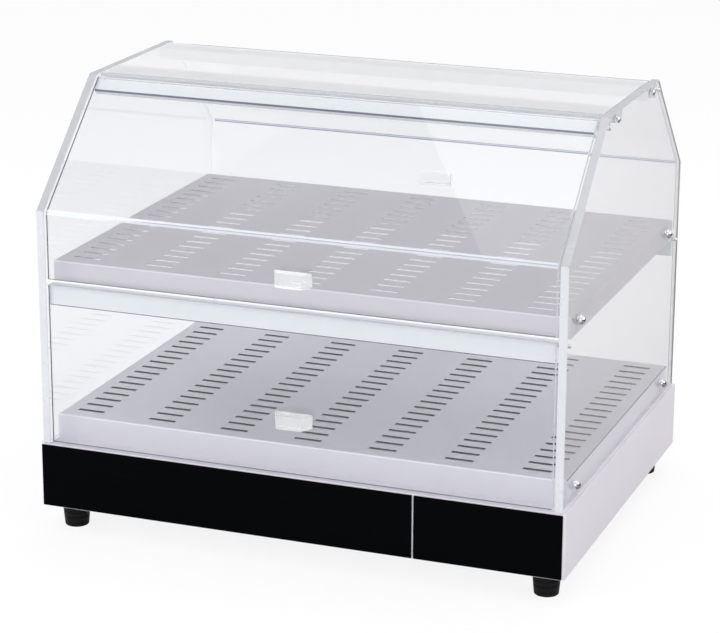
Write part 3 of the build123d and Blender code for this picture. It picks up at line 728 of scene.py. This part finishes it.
def makeFinishes():
    made = {}
    for name, (*values, metallic, strength, depth) in grainRows.items():
        made[name] = groupMaterial(name, grainGroup, dict(zip(grainColumns, values)),
                                   {"Metallic": metallic}, strength, depth)[0]
    for name, row in skinRows.items():
        made[name] = skinMaterial(name, row)[0]
    for name, row in edgeRows.items():
        made[name] = edgeMaterial(name, *row)
    for name, (values, sockets, *rest) in clearRows.items():
        made[name] = clearMaterial(name, dict(zip(polishColumns, values)),
                                   dict(zip(clearColumns, sockets)), *rest)
    return made


finishes = makeFinishes()
print("finishes mixed,", len(finishes))

# CAD pieces that keep their shape
finishOfNode = {
    "base_housing": "baseSteel",
    "foot_nuts": "fastenerSteel",
    "reflector_tray": "reflectorSheet",
    "heating_rods": "rodSteel",
    "rod_brackets": "bracketSteel",
    "thermostat": "bracketSteel",
    "thermostat_shaft": "bracketSteel",
    "thermostat_bulb": "bulbCopper",
    "bulb_clip": "bracketSteel",
    "gland_nut": "glandGrey",
    "terminal_block": "terminalCream",
    "deck_tray": "deckSteelPaintedLight",
    "shelf_tray": "traySteel",
}
for node, finish in finishOfNode.items():
    for materialSlot in nodes[node].material_slots:
        materialSlot.material = finishes[finish]
# Painted light and shade on the trays: the shelf's slots, front fold and lips painted lighter; the
# deck's slots, right fold and lips painted darker, with a faint painted highlight on its front fold
paintTrayShading(finishes["traySteel"], "shelf_tray", {
    "Slot Painted Shading": 0.15, "Front Fold Painted Highlight": 0.5, "Side Fold Painted Shade": 0.0, "Lip Painted Shading": 0.3})
paintTrayShading(finishes["deckSteelPaintedLight"], "deck_tray", {
    "Slot Painted Shading": -0.85, "Front Fold Painted Highlight": 0.04, "Side Fold Painted Shade": -0.97, "Lip Painted Shading": -0.12})
print("CAD pieces finished,", len(finishOfNode))

# The case's outline, read from the left side panel: top corners and bends of both faces
panelLow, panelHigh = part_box("side_panel_left")
rim = [v.co.copy() for v in nodes["side_panel_left"].data.vertices]
topPoints = [p for p in rim if panelHigh.z - p.z < hair]
faceSides = {"front": -1, "rear": 1}
levels = ("upper", "lower")
topCorner = {face: max(topPoints, key=lambda p: side * p.y) for face, side in faceSides.items()}
wallY = {"front": panelLow.y, "rear": panelHigh.y}
bendPoint = {
    face: max((p for p in rim if abs(p.y - y) < hair), key=lambda p: p.z)
    for face, y in wallY.items()
}


def slopeOf(face):
    # Unit vectors down the sloping part of a face, and out of it
    top, bend = topCorner[face], bendPoint[face]
    down = Vector((0, bend.y - top.y, bend.z - top.z)).normalized()
    return down, Vector((0, -faceSides[face] * down.z, faceSides[face] * down.y))


def solidBoxes(node):
    # The low and high corners of a node's separate solids, whose mesh comes apart into loose parts
    activate(scratchCopy(node, "scratch"))
    bpy.ops.object.mode_set(mode="EDIT")
    bpy.ops.mesh.select_all(action="SELECT")
    bpy.ops.mesh.remove_doubles(threshold=hair)
    bpy.ops.mesh.separate(type="LOOSE")
    leaveEdit()
    boxes = []
    for part in list(bpy.context.selected_objects):
        mesh = part.data
        spots = [v.co for v in mesh.vertices]
        boxes.append([Vector([pick(p[i] for p in spots) for i in range(3)]) for pick in (min, max)])
        bpy.data.objects.remove(part)
        bpy.data.meshes.remove(mesh)
    return boxes


# Side panels: a block cut to the case's outline, with its corners taken off, and drilled
doorNames = [f"{level}_{face}" for face in faceSides for level in levels]
panelPlan = {
    "chamfer": 0.8 * millimetre, "boreSides": 28, "boreReach": 20 * millimetre,
    "leastRim": 8 * millimetre ** 2,
    "bores": {"shelf_bolts": 3.05, "deck_bolts": 3.05, "rail_screws": 2.05,
              **{f"hinge_pins_{door}": 2.55 for door in doorNames}},
}
fastenerBoxes = {node: solidBoxes(node) for node in panelPlan["bores"]}


def makeSidePanel(side):
    name = "left" if side < 0 else "right"
    low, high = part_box(f"side_panel_{name}")
    low.z += airGap
    panel = addBox(f"sidePanel{name.capitalize()}", low, high)
    for face in faceSides:
        editFaces(panel, anyFace, bpy.ops.mesh.bisect, plane_co=topCorner[face],
                  plane_no=slopeOf(face)[1], use_fill=True, clear_outer=True)
    soften(panel, panelPlan["chamfer"], 1)
    ends = (low.x - panelPlan["boreReach"], high.x + panelPlan["boreReach"])
    cutters = []
    for node, radius in panelPlan["bores"].items():
        for boxLow, boxHigh in fastenerBoxes[node]:
            middle = (boxLow + boxHigh) / 2
            if middle.x * side > 0:
                start, end = (Vector((x, middle.y, middle.z)) for x in ends)
                cutters.append(
                    addRod("bore", radius * millimetre, start, end, panelPlan["boreSides"]))
    cutAway(panel, joinInto(cutters[0], cutters[1:]))
    finishPiece(panel, "case", "clear_acrylic", "panelAcrylic", f"side_panel_{name}")

    def onRim(polygon, plain):
        # Faces across the sheet. The right panel's are greyer, a painted shade, but for its bottom
        across = abs(polygon.normal.x) < straight and polygon.area > panelPlan["leastRim"]
        return across and plain == (side < 0 or polygon.normal.z < -straight)

    wear(panel, "panelEdge", lambda polygon: onRim(polygon, True))
    wear(panel, "paintedShadeEdge", lambda polygon: onRim(polygon, False))


for side in (-1, 1):
    makeSidePanel(side)
print("side panels cut")

# Clear top panel, with the rails under it
topPlan = {"round": 0.5 * millimetre, "roundSteps": 2}


def makeTop():
    low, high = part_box("top_panel")
    low.z += airGap
    panel = addBox("topPanel", low, high)
    soften(panel, topPlan["round"], topPlan["roundSteps"])
    finishPiece(panel, "case", "clear_acrylic", "panelAcrylic", "top_panel")
    wear(panel, "panelEdge", lambda polygon: abs(polygon.normal.z) < straight)
    for face in faceSides:
        node = f"top_rail_{face}"
        rail = cleanCopy(node, f"topRail{face.capitalize()}")
        low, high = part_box(node)
        rail.scale = (1 - 2 * airGap / (high.x - low.x), 1, 1)
        finishPiece(settle(rail), "case", "rail_aluminium", "railAluminium", node)


makeTop()
print("top made")

# Flap doors. An upper sheet is drawn flat, bent by a bevel, then given its thickness.
doorPlan = {
    "thickness": 5 * millimetre, "bendRadius": 8 * millimetre, "bendSteps": 12,
    "edgeRound": 0.4 * millimetre, "roundSteps": 2, "bandAngles": (2, 20), "sideways": 0.5,
    "finishes": {
        "front": {"edge": "doorEdge", "band": "bendPaintedHighlight", "handle": "handleAcrylic"},
        "rear": {"edge": "panelEdge", "band": "faintBendPaintedHighlight", "handle": "faintAcrylic"},
    },
}
stripPlan = {
    "thickness": 8 * millimetre, "height": {"upper": 18 * millimetre, "lower": 26 * millimetre},
    "pinDrop": 4.5 * millimetre, "round": 0.5 * millimetre, "roundSteps": 2,
    "darkLine": 1.6 * millimetre, "lean": 0.2,
}
handlePlan = {"round": 1.0 * millimetre, "roundSteps": 3}


def makeUpperDoor(face):
    plan, door, side, bend = doorPlan, f"upper_{face}", faceSides[face], bendPoint[face]
    low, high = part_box(f"door_{door}")
    down, out = slopeOf(face)
    clearSelection()
    middle = Vector(((low.x + high.x) / 2, bend.y, (low.z + bend.z) / 2))
    bpy.ops.mesh.primitive_plane_add(size=1, location=middle, rotation=(pi / 2, 0, 0))
    bpy.context.object.scale = (high.x - low.x, bend.z - low.z, 1)
    sheet = named(f"doorUpper{face.capitalize()}")

    def atBend(first, last):
        return max(abs(first.z - bend.z), abs(last.z - bend.z)) < hair

    def onBand(polygon):
        # Outer faces of the bend, but for the slivers next to the flats
        normal, (least, most) = polygon.normal, [radians(angle) for angle in plan["bandAngles"]]
        turned = min(normal.angle(out), normal.angle(Vector((0, side, 0))))
        return abs(normal.x) < askew and least < turned < most and normal.y * side > 0

    rise = -down * ((high.z - bend.z) / -down.z)
    editEdges(sheet, atBend, bpy.ops.mesh.extrude_region_move,
              TRANSFORM_OT_translate={"value": rise})
    turn = atan2(abs(down.y), -down.z)
    editEdges(sheet, atBend, bpy.ops.mesh.bevel, offset=plan["bendRadius"] * tan(turn / 2),
              segments=plan["bendSteps"], affect="EDGES", offset_type="OFFSET")
    editFaces(sheet, anyFace, bpy.ops.mesh.normals_make_consistent, inside=False)
    if sheet.data.polygons[0].normal.y * side < 0:
        editFaces(sheet, anyFace, bpy.ops.mesh.flip_normals)
    applyModifier(sheet, "SOLIDIFY", thickness=plan["thickness"], offset=-1, use_even_offset=True)
    soften(sheet, plan["edgeRound"], plan["roundSteps"], over=60)
    finishPiece(sheet, f"door_{door}", "door_acrylic", "doorAcrylic", f"door_{door}")
    # The bend's outer faces wear the painted highlight
    wear(sheet, plan["finishes"][face]["band"], onBand)
    # Side and bottom edges: nearly black from within at the front, a painted shade, and pale with a
    # painted glow at the rear
    wear(sheet, plan["finishes"][face]["edge"], lambda polygon: (
        abs(polygon.normal.x) > plan["sideways"] or polygon.normal.z < -straight))


def makeLowerDoor(face):
    plan, door = doorPlan, f"lower_{face}"
    sheet = addBox(f"doorLower{face.capitalize()}", *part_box(f"door_{door}"))
    soften(sheet, plan["edgeRound"], plan["roundSteps"])
    finishPiece(sheet, f"door_{door}", "door_acrylic", "doorAcrylic", f"door_{door}")
    # Edges all round: the same painted shade or painted glow seen from within
    wear(sheet, plan["finishes"][face]["edge"],
         lambda polygon: abs(polygon.normal.y) < plan["sideways"])


def makeStrip(face, level):
    # Modelled about its pin: X along the pin, Y out of the door, Z towards the door's top edge
    plan, door, side = stripPlan, f"{level}_{face}", faceSides[face]
    low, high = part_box(f"hinge_strip_{door}")
    half, drop = (high.x - low.x) / 2, plan["pinDrop"]
    front, foot = plan["thickness"] / 2 - airGap, drop - plan["height"][level]
    strip = addBox(f"hingeStrip{level.capitalize()}{face.capitalize()}",
                   (-half, -plan["thickness"] / 2, foot), (half, front, drop))
    editEdges(strip, lambda a, b: max(a.z, b.z) < foot + hair and min(a.y, b.y) > front - hair,
              bpy.ops.mesh.bevel, offset=plan["darkLine"], segments=1, affect="EDGES")
    soften(strip, plan["round"], plan["roundSteps"])

    def onDarkLine(polygon):
        normal = polygon.normal
        leaning = normal.y > plan["lean"] and normal.z < -plan["lean"] and abs(normal.x) < askew
        return leaning and polygon.center.z < foot + plan["darkLine"]

    wear(strip, "stripMilk", lambda polygon: True)
    # A dark blue line along the strip's lower front edge
    wear(strip, "darkLineEdge", onDarkLine)
    down, out = slopeOf(face) if level == "upper" else (Vector((0, 0, -1)), Vector((0, side, 0)))
    settle(strip, placeAt(pivots[f"{door}_door_hinge"], Vector((side, 0, 0)), out, -down))
    finishPiece(strip, f"door_{door}", "strip_acrylic", None, f"hinge_strip_{door}")


def makeHandle(face, level):
    door, side = f"{level}_{face}", faceSides[face]
    low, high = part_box(f"handle_{door}")
    tipY = low.y if side < 0 else high.y
    spots = [v.co for v in nodes[f"handle_{door}"].data.vertices]
    tipHalf = max(p.x for p in spots if abs(p.y - tipY) < hair)
    taper = (tipHalf + handlePlan["round"]) / high.x
    (high if side < 0 else low).y += side * airGap
    handle = addBox(f"handle{level.capitalize()}{face.capitalize()}", low, high)
    editFaces(handle, lambda normal: normal.y * side > straight, bpy.ops.transform.resize,
              value=(taper, 1, 1))
    soften(handle, handlePlan["round"], handlePlan["roundSteps"])
    finishPiece(handle, f"door_{door}", "handle_acrylic", doorPlan["finishes"][face]["handle"],
                f"handle_{door}")


for face in faceSides:
    makeUpperDoor(face)
    makeLowerDoor(face)
    for level in levels:
        makeStrip(face, level)
        makeHandle(face, level)
print("doors hung")

# Black front panels, one wide and one narrow
fasciaPlan = {"round": 0.5 * millimetre, "steps": 3}
for node, name in {"fascia_main": "fasciaMain", "fascia_service": "fasciaService"}.items():
    fascia = addBox(name, *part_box(node))
    soften(fascia, fasciaPlan["round"], fasciaPlan["steps"])
    finishPiece(fascia, "case", "black_panel", "blackPanel", node)

# Rubber feet: a hollow sole, two rings, a rim where they meet the base, and the stud
footPlan = {
    "topRadius": 17.5, "soleRadius": 14.5, "height": 32, "studRadius": 3, "studReach": 8,
    "rimHeight": 5, "rimRound": 1.0, "topRound": 0.6, "neck": 0.9, "neckHeight": 0.8,
    "ring": 0.7, "ringWidth": 1.6, "ringHeights": (13, 19), "soleRound": 1.6,
    "hollowRadius": 8, "hollowDepth": 5, "hollowLean": 0.6, "steps": 40,
}


def makeFoot():
    plan = footPlan
    top, sole, tall, stud = (plan[key] for key in (
        "topRadius", "soleRadius", "height", "studRadius"))

    def wall(height):
        return sole + (top - sole) * height / tall

    bend, hollow, deep = plan["soleRound"], plan["hollowRadius"], plan["hollowDepth"]
    points = [(0, deep), (hollow - plan["hollowLean"], deep), (hollow, 0)]
    points += arcPoints((wall(bend) - bend, bend), bend, -90, 0, 5)
    for height in plan["ringHeights"]:
        half, floor = plan["ringWidth"] / 2, wall(height) - plan["ring"]
        points += [(wall(height - half), height - half), (floor, height - half / 2),
                   (floor, height + half / 2), (wall(height + half), height + half)]
    rim, rimBend, topBend = tall - plan["rimHeight"], plan["rimRound"], plan["topRound"]
    neck = wall(rim) - plan["neck"]
    points += [(neck, rim - plan["neckHeight"]), (neck, rim)]
    points += arcPoints((top - rimBend, rim + rimBend), rimBend, -60, 0, 3)
    points += arcPoints((top - topBend, tall - topBend), topBend, 0, 90, 3)
    points += [(stud, tall), (stud, tall + plan["studReach"]), (0, tall + plan["studReach"])]
    return turnProfile("footPattern", points, plan["steps"])


footPattern = makeFoot()
for number, (low, high) in enumerate(solidBoxes("feet"), 1):
    middle = (low + high) / 2
    place = Matrix.Translation((middle.x, middle.y, low.z))
    foot = copyTo(footPattern, f"foot_{number}", place)
    finishPiece(foot, "case", "foot_rubber", "footRubber", "feet")
bpy.data.objects.remove(footPattern)
print("front panels and feet made")

# Bolts, nuts, screws and pins. Each is modelled once, looking along Z, and copied to its places.
boltPlan = {
    "headRadius": 6, "headHeight": 5, "apex": 5.3, "shankRadius": 3, "socketAcross": 4,
    "socketDepth": 2.6, "edge": 1.0, "pitch": 1.0, "threadDepth": 0.28, "plainShank": 2,
    "steps": 32,
}
nutPlan = {
    "flats": 10, "height": 5, "bore": 3.05, "chamfer": 0.6, "cornerCut": 0.2, "steps": 24,
    "turnedSteps": 47,
}
screwPlan = {
    "headRadius": 4.5, "headHeight": 2.5, "apex": 2.5, "shankRadius": 2, "recessArm": 2.3,
    "recessWidth": 0.8, "recessDepth": 1.5, "edge": 0.9, "pitch": 1.4, "threadDepth": 0.3,
    "plainShank": 1, "steps": 28,
}
pinPlan = {
    "radius": 2.5, "chamfer": 0.5, "dimpleDepth": 0.3, "dimpleFloor": 0.8, "dimpleRadius": 1.1,
    "steps": 28,
}
crestEnd, rootEnd = 0.2, 0.6      # how far down each pitch a thread's crest and root end


def threadPoints(radius, depth, pitch, start, end):
    # A shank with one ridge to each pitch, from start down to end
    turns = int((start - end) / pitch)
    points = []
    for i in range(turns):
        height = start - i * pitch
        points += [(radius, height), (radius, height - crestEnd * pitch),
                   (radius - depth, height - rootEnd * pitch)]
    return points + [(radius, start - turns * pitch), (radius - depth, end), (0, end)]


def headedPattern(name, plan, length):
    # A domed head on a threaded shank; the head's seat is at height 0
    radius, shank, plain = plan["headRadius"], plan["shankRadius"], -plan["plainShank"]
    centre, sphere, foot = domeOf(radius, plan["apex"] - plan["edge"], plan["apex"])
    seat = airGap / millimetre
    points = arcPoints(centre, sphere, 90, foot, 7)
    points += [(radius, seat), (shank, seat), (shank, plain)]
    points += threadPoints(shank, plan["threadDepth"], plan["pitch"], plain, -length)
    return turnProfile(name, points, plan["steps"])


def hexRod(name, flats, low, high):
    clearSelection()
    bpy.ops.mesh.primitive_cylinder_add(
        vertices=6, radius=flats / 2 / cos(pi / 6) * millimetre, depth=(high - low) * millimetre,
        location=(0, 0, (low + high) / 2 * millimetre))
    return named(name)


def boltPattern(plan, length):
    bolt, top = headedPattern("boltPattern", plan, length), plan["headHeight"]
    floor = top - plan["socketDepth"]
    return cutAway(bolt, hexRod("socket", plan["socketAcross"], floor, top + overshoot))


def screwPattern(plan, length):
    screw, top = headedPattern("screwPattern", plan, length), plan["headHeight"]
    arm, half, floor = plan["recessArm"], plan["recessWidth"] / 2, top - plan["recessDepth"]
    for x, y in ((arm, half), (half, arm)):
        cutAway(screw, addSmallBox("recess", (-x, -y, floor), (x, y, top + overshoot)))
    return screw


def nutPattern(name, plan):
    nut = hexRod(name, plan["flats"], 0, plan["height"])
    height, cut = plan["height"], plan["chamfer"]
    start = plan["flats"] / 2 - plan["cornerCut"]
    profile = [(0, -overshoot), (start - 2 * cut, -cut), (start + 8 * cut, 4 * cut),
               (start + 8 * cut, height - 4 * cut), (start - 2 * cut, height + cut),
               (0, height + overshoot)]
    cutAway(nut, turnProfile("nutTurned", profile, plan["turnedSteps"]), "INTERSECT")
    ends = ((0, 0, z * millimetre) for z in (-overshoot, height + overshoot))
    return cutAway(nut, addRod("nutBore", plan["bore"] * millimetre, *ends, plan["steps"]))


def pinPattern(plan, length):
    radius, cut, deep = plan["radius"], plan["chamfer"], -plan["dimpleDepth"]
    profile = [(0, deep), (plan["dimpleFloor"], deep), (plan["dimpleRadius"], 0),
               (radius - cut, 0), (radius, -cut), (radius, cut - length),
               (radius - cut, -length), (0, -length)]
    return turnProfile("pinPattern", profile, plan["steps"])


def placeFasteners(pattern, node, name, slot, finish, lift=0.0, inward=False, body="case"):
    # Copies the pattern to every solid of the node; a nut's foot is its inner face
    for number, (low, high) in enumerate(solidBoxes(node), 1):
        middle = (low + high) / 2
        outward = Vector((1 if middle.x > 0 else -1, 0, 0))
        edge = high.x if middle.x > 0 else low.x
        spot = Vector((edge, middle.y, middle.z)) + outward * lift
        if inward:
            spot.x -= outward.x * (high.x - low.x)
        piece = copyTo(pattern, f"{name}_{number}", facing(spot, outward))
        finishPiece(piece, body, slot, finish, node)
    bpy.data.objects.remove(pattern)


def placeHeaded(makePattern, plan, node, name):
    # Bolts or screws, whose heads stand proud of the panel
    low, high = fastenerBoxes[node][0]
    head = plan["headHeight"]
    pattern = makePattern(plan, (high.x - low.x) / millimetre - head)
    placeFasteners(pattern, node, name, "bolt_chrome", "boltChrome", lift=-head * millimetre)


for tray in ("shelf", "deck"):
    placeHeaded(boltPattern, boltPlan, f"{tray}_bolts", f"{tray}Bolt")
    placeFasteners(nutPattern("nutPattern", nutPlan), f"{tray}_nuts", f"{tray}Nut",
                   "fastener_steel", "fastenerSteel", inward=True)
placeHeaded(screwPattern, screwPlan, "rail_screws", "railScrew")
for door in doorNames:
    node = f"hinge_pins_{door}"
    low, high = fastenerBoxes[node][0]
    pin = pinPattern(pinPlan, (high.x - low.x) / millimetre)
    placeFasteners(pin, node, f"hingePin_{door}", "pin_steel", "pinSteel", body=f"door_{door}")
print("fasteners placed")

# Controls on the rear wall, seen from behind with Z up the picture
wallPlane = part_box("base_housing")[1].y


def onWall(spot):
    return placeAt(spot, (-1, 0, 0), (0, 0, 1), (0, 1, 0))


def readControl(node):
    # A control's place on the wall, and how far it reaches out of the wall and into it
    low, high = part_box(node)
    middle = (low + high) / 2
    place = onWall((middle.x, wallPlane, middle.z))
    return place, (high.y - wallPlane) / millimetre, (wallPlane - low.y) / millimetre


knobPlan = {
    "skirtHeight": 4, "skirtEdge": 0.8, "footChamfer": 0.3, "gripWidth": 12, "gripLength": 36,
    "gripRound": 5.2, "gripRoundSteps": 8, "gripEdge": 1.4, "gripEdgeSteps": 4, "gripTaper": 0.9,
    "bore": 3.05, "boreSides": 24, "boreSpare": 0.3, "pointerWidth": 1.6, "pointerLength": 9,
    "pointerProud": 0.05, "pointerDepth": 0.3, "pointerInset": 2.24, "pointerRound": 0.03,
    "steps": 56,
}
dialPlan = {
    "numbers": "0123456", "sweep": 270, "numberRadius": 27.5, "numberSize": 6.2,
    "tickRadius": 22.5, "tickLength": 1.8, "tickWidth": 0.5, "printThickness": 0.04,
}


def makeKnob():
    plan = knobPlan
    low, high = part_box("thermostat_knob")
    middle = (low + high) / 2
    radius = (high.x - low.x) / 2 / millimetre
    depth = (high.y - low.y) / millimetre - plan["pointerProud"]
    skirt, edge, foot = plan["skirtHeight"], plan["skirtEdge"], plan["footChamfer"]
    profile = [(0, 0), (radius - foot, 0), (radius, foot)]
    profile += arcPoints((radius - edge, skirt - edge), edge, 0, 90, 4) + [(0, skirt)]
    knob = turnProfile("thermostatKnob", profile, plan["steps"])
    half, reach, taper = plan["gripWidth"] / 2, plan["gripLength"] / 2, plan["gripTaper"]
    grip = addSmallBox("grip", (-half, -reach, skirt / 2), (half, reach, depth))
    editFaces(grip, lambda normal: normal.z > straight, bpy.ops.transform.resize,
              value=(taper, taper, 1))
    top = (depth - 0.1) * millimetre
    editEdges(grip, lambda a, b: abs(a.z - b.z) > millimetre, bpy.ops.mesh.bevel, affect="EDGES",
              offset=plan["gripRound"] * millimetre, segments=plan["gripRoundSteps"])
    editEdges(grip, lambda a, b: min(a.z, b.z) > top, bpy.ops.mesh.bevel, affect="EDGES",
              offset=plan["gripEdge"] * millimetre, segments=plan["gripEdgeSteps"])
    cutAway(knob, grip, "UNION")
    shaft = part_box("thermostat_shaft")[1].y - low.y + plan["boreSpare"] * millimetre
    cutAway(knob, addRod("knobBore", plan["bore"] * millimetre, (0, 0, -overshoot * millimetre),
                         (0, 0, shaft), plan["boreSides"]))
    settle(knob, onWall((middle.x, low.y, middle.z)))
    finishPiece(knob, "thermostat_dial", "knob_black", "knobBlack", "thermostat_knob")

    tip = middle.z + (reach * taper - plan["pointerInset"]) * millimetre
    foot = tip - plan["pointerLength"] * millimetre
    wide = plan["pointerWidth"] / 2 * millimetre
    back = high.y - plan["pointerDepth"] * millimetre
    pointer = addBox("knobPointer", (middle.x - wide, back, foot), (middle.x + wide, high.y, tip))
    soften(pointer, plan["pointerRound"] * millimetre, 1)
    finishPiece(pointer, "thermostat_dial", "knob_black", "printWhite")
    return middle


def makeDial(middle):
    # Numbers and ticks printed round the knob
    plan, marks = dialPlan, []
    thick, start, half = plan["printThickness"], plan["tickRadius"], plan["tickWidth"] / 2
    spot = Vector((middle.x, wallPlane + thick * millimetre / 2, middle.z))
    for number, label in enumerate(plan["numbers"]):
        angle = radians(plan["sweep"] * number / (len(plan["numbers"]) - 1))
        out = Vector((-sin(angle), 0, cos(angle)))
        clearSelection()
        bpy.ops.object.text_add(location=(0, 0, 0))
        text = bpy.context.object.data
        text.body = label
        text.size = plan["numberSize"] * millimetre
        text.align_x, text.align_y = "CENTER", "CENTER"
        text.extrude = thick * millimetre / 2
        bpy.ops.object.convert(target="MESH")
        place = onWall(spot + out * plan["numberRadius"] * millimetre)
        marks.append(settle(bpy.context.object, place))
        tick = addSmallBox("tick", (-half, start, 0), (half, start + plan["tickLength"], thick))
        place = onWall((middle.x, wallPlane, middle.z)) @ Matrix.Rotation(-angle, 4, "Z")
        marks.append(settle(tick, place))
    dial = joinInto(marks[0], marks[1:])
    dial.name = dial.data.name = "dialNumbers"
    finishPiece(dial, "case", "knob_black", "printBlack")


makeDial(makeKnob())

switchPlan = {
    "round": 0.5, "roundSteps": 3, "outwardPad": 0.8, "markSize": 3.6, "markWidth": 0.7,
    "markThickness": 0.04, "ringSegments": (32, 8),
}


def makeSwitch():
    # The rocker's upper pad carries a bar, for on, and its lower pad a ring, for off
    plan = switchPlan
    body = cleanCopy("switch_body", "switchBody")
    soften(body, plan["round"] * millimetre, plan["roundSteps"])
    finishPiece(body, "case", "switch_black", "switchBlack", "switch_body")
    rocker = cleanCopy("switch_rocker", "switchRocker")
    pads = [f for f in rocker.data.polygons if f.normal.y > plan["outwardPad"]]
    pads = sorted(pads, key=lambda f: -f.area)[:2]
    off, on = sorted(((f.center.copy(), f.normal.copy()) for f in pads), key=lambda pad: pad[0].z)
    soften(rocker, plan["round"] * millimetre, plan["roundSteps"])
    finishPiece(rocker, "switch_rocker", "rocker_black", "rockerBlack", "switch_rocker")
    size, wide, thick = (
        plan[key] * millimetre for key in ("markSize", "markWidth", "markThickness"))
    bar = addBox("markOn", (-wide / 2, -size / 2, -thick), (wide / 2, size / 2, thick))
    settle(bar, facing(*on))
    clearSelection()
    around, across = plan["ringSegments"]
    bpy.ops.mesh.primitive_torus_add(major_radius=(size - wide) / 2, minor_radius=wide / 2,
                                     major_segments=around, minor_segments=across)
    ring = named("markOff")
    ring.scale = (1, 1, thick / wide * 2)
    settle(settle(ring), facing(*off))
    marks = joinInto(bar, [ring])
    marks.name = marks.data.name = "rockerMarks"
    finishPiece(marks, "switch_rocker", "rocker_black", "printWhite")


makeSwitch()

lampPlan = {
    "bezelRadius": 7, "bezelHeight": 1.8, "bezelRound": 0.7, "bodyRadius": 5, "wallGap": 0.02,
    "lensRadius": 4.6, "lensGap": 0.15, "wellFloor": 0.6, "lensFoot": 0.7, "steps": 36,
}


def makeLamp():
    plan = lampPlan
    place, proud, depth = readControl("pilot_lamp")
    rim, lens, tall = plan["bezelRadius"], plan["lensRadius"], plan["bezelHeight"]
    body, bend, gap = plan["bodyRadius"], plan["bezelRound"], plan["wallGap"]
    well, floor, foot = lens + plan["lensGap"], plan["wellFloor"], plan["lensFoot"]
    profile = [(0, -depth), (body, -depth), (body, gap), (rim, gap)]
    profile += arcPoints((rim - bend, tall - bend), bend, 0, 90, 4)
    profile += [(well, tall), (well, floor), (0, floor)]
    bezel = turnProfile("lampBezel", profile, plan["steps"])
    finishPiece(settle(bezel, place), "case", "lamp_amber", "bezelBlack", "pilot_lamp")
    centre, sphere, start = domeOf(lens, proud - tall, proud)
    profile = [(0, foot), (lens, foot), (lens, tall)]
    profile += arcPoints(centre, sphere, start, 90, 7)[1:]
    glow = turnProfile("lampLens", profile, plan["steps"])
    finishPiece(settle(glow, place), "case", "lamp_amber", "lensAmber")


makeLamp()

glandPlan = {
    "flats": 20, "hexHeight": 4.5, "hexChamfer": 0.7, "capRadius": 8.6, "capMouth": 5.6,
    "domeHeight": 3.5, "mouthChamfer": 0.4, "bore": 4, "thread": 8, "pitch": 1.5,
    "threadDepth": 0.5, "ribs": 12, "ribRadius": 0.7, "ribLift": 0.3, "ribSides": 8, "steps": 36,
}


def makeGland():
    plan = glandPlan
    place, proud, depth = readControl("cable_gland")
    bore, start, thread = plan["bore"], plan["hexHeight"], plan["thread"]
    base = nutPattern("cableGland", {
        **nutPlan, "flats": plan["flats"], "height": start, "bore": bore,
        "chamfer": plan["hexChamfer"], "steps": plan["steps"]})
    cap, mouth, cut = plan["capRadius"], plan["capMouth"], plan["mouthChamfer"]
    top = proud - plan["domeHeight"]
    profile = [(bore, start), (cap, start), (cap, top)]
    profile += arcPoints((mouth, top), cap - mouth, 0, 80, 6)
    profile += [(mouth, proud), (bore + cut, proud), (bore, proud - cut), (bore, start)]
    profile = [(radius, min(height, proud)) for radius, height in profile]
    dome = turnProfile("glandCap", profile, plan["steps"])
    ribs = []
    for i in range(plan["ribs"]):
        angle = 2 * pi * i / plan["ribs"]
        x, y = cap * cos(angle) * millimetre, cap * sin(angle) * millimetre
        ends = ((x, y, z * millimetre) for z in (start + plan["ribLift"], top))
        ribs.append(addRod("rib", plan["ribRadius"] * millimetre, *ends, plan["ribSides"]))
    points = [(bore, 0), (thread, 0)]
    points += threadPoints(thread, plan["threadDepth"], plan["pitch"], 0, -depth)[:-1]
    points += [(bore, -depth), (bore, 0)]
    tail = turnProfile("glandThread", points, plan["steps"])
    gland = settle(joinInto(base, [dome, tail] + ribs), place)
    finishPiece(gland, "case", "gland_grey", "glandGrey", "cable_gland")


makeGland()
print("controls fitted")
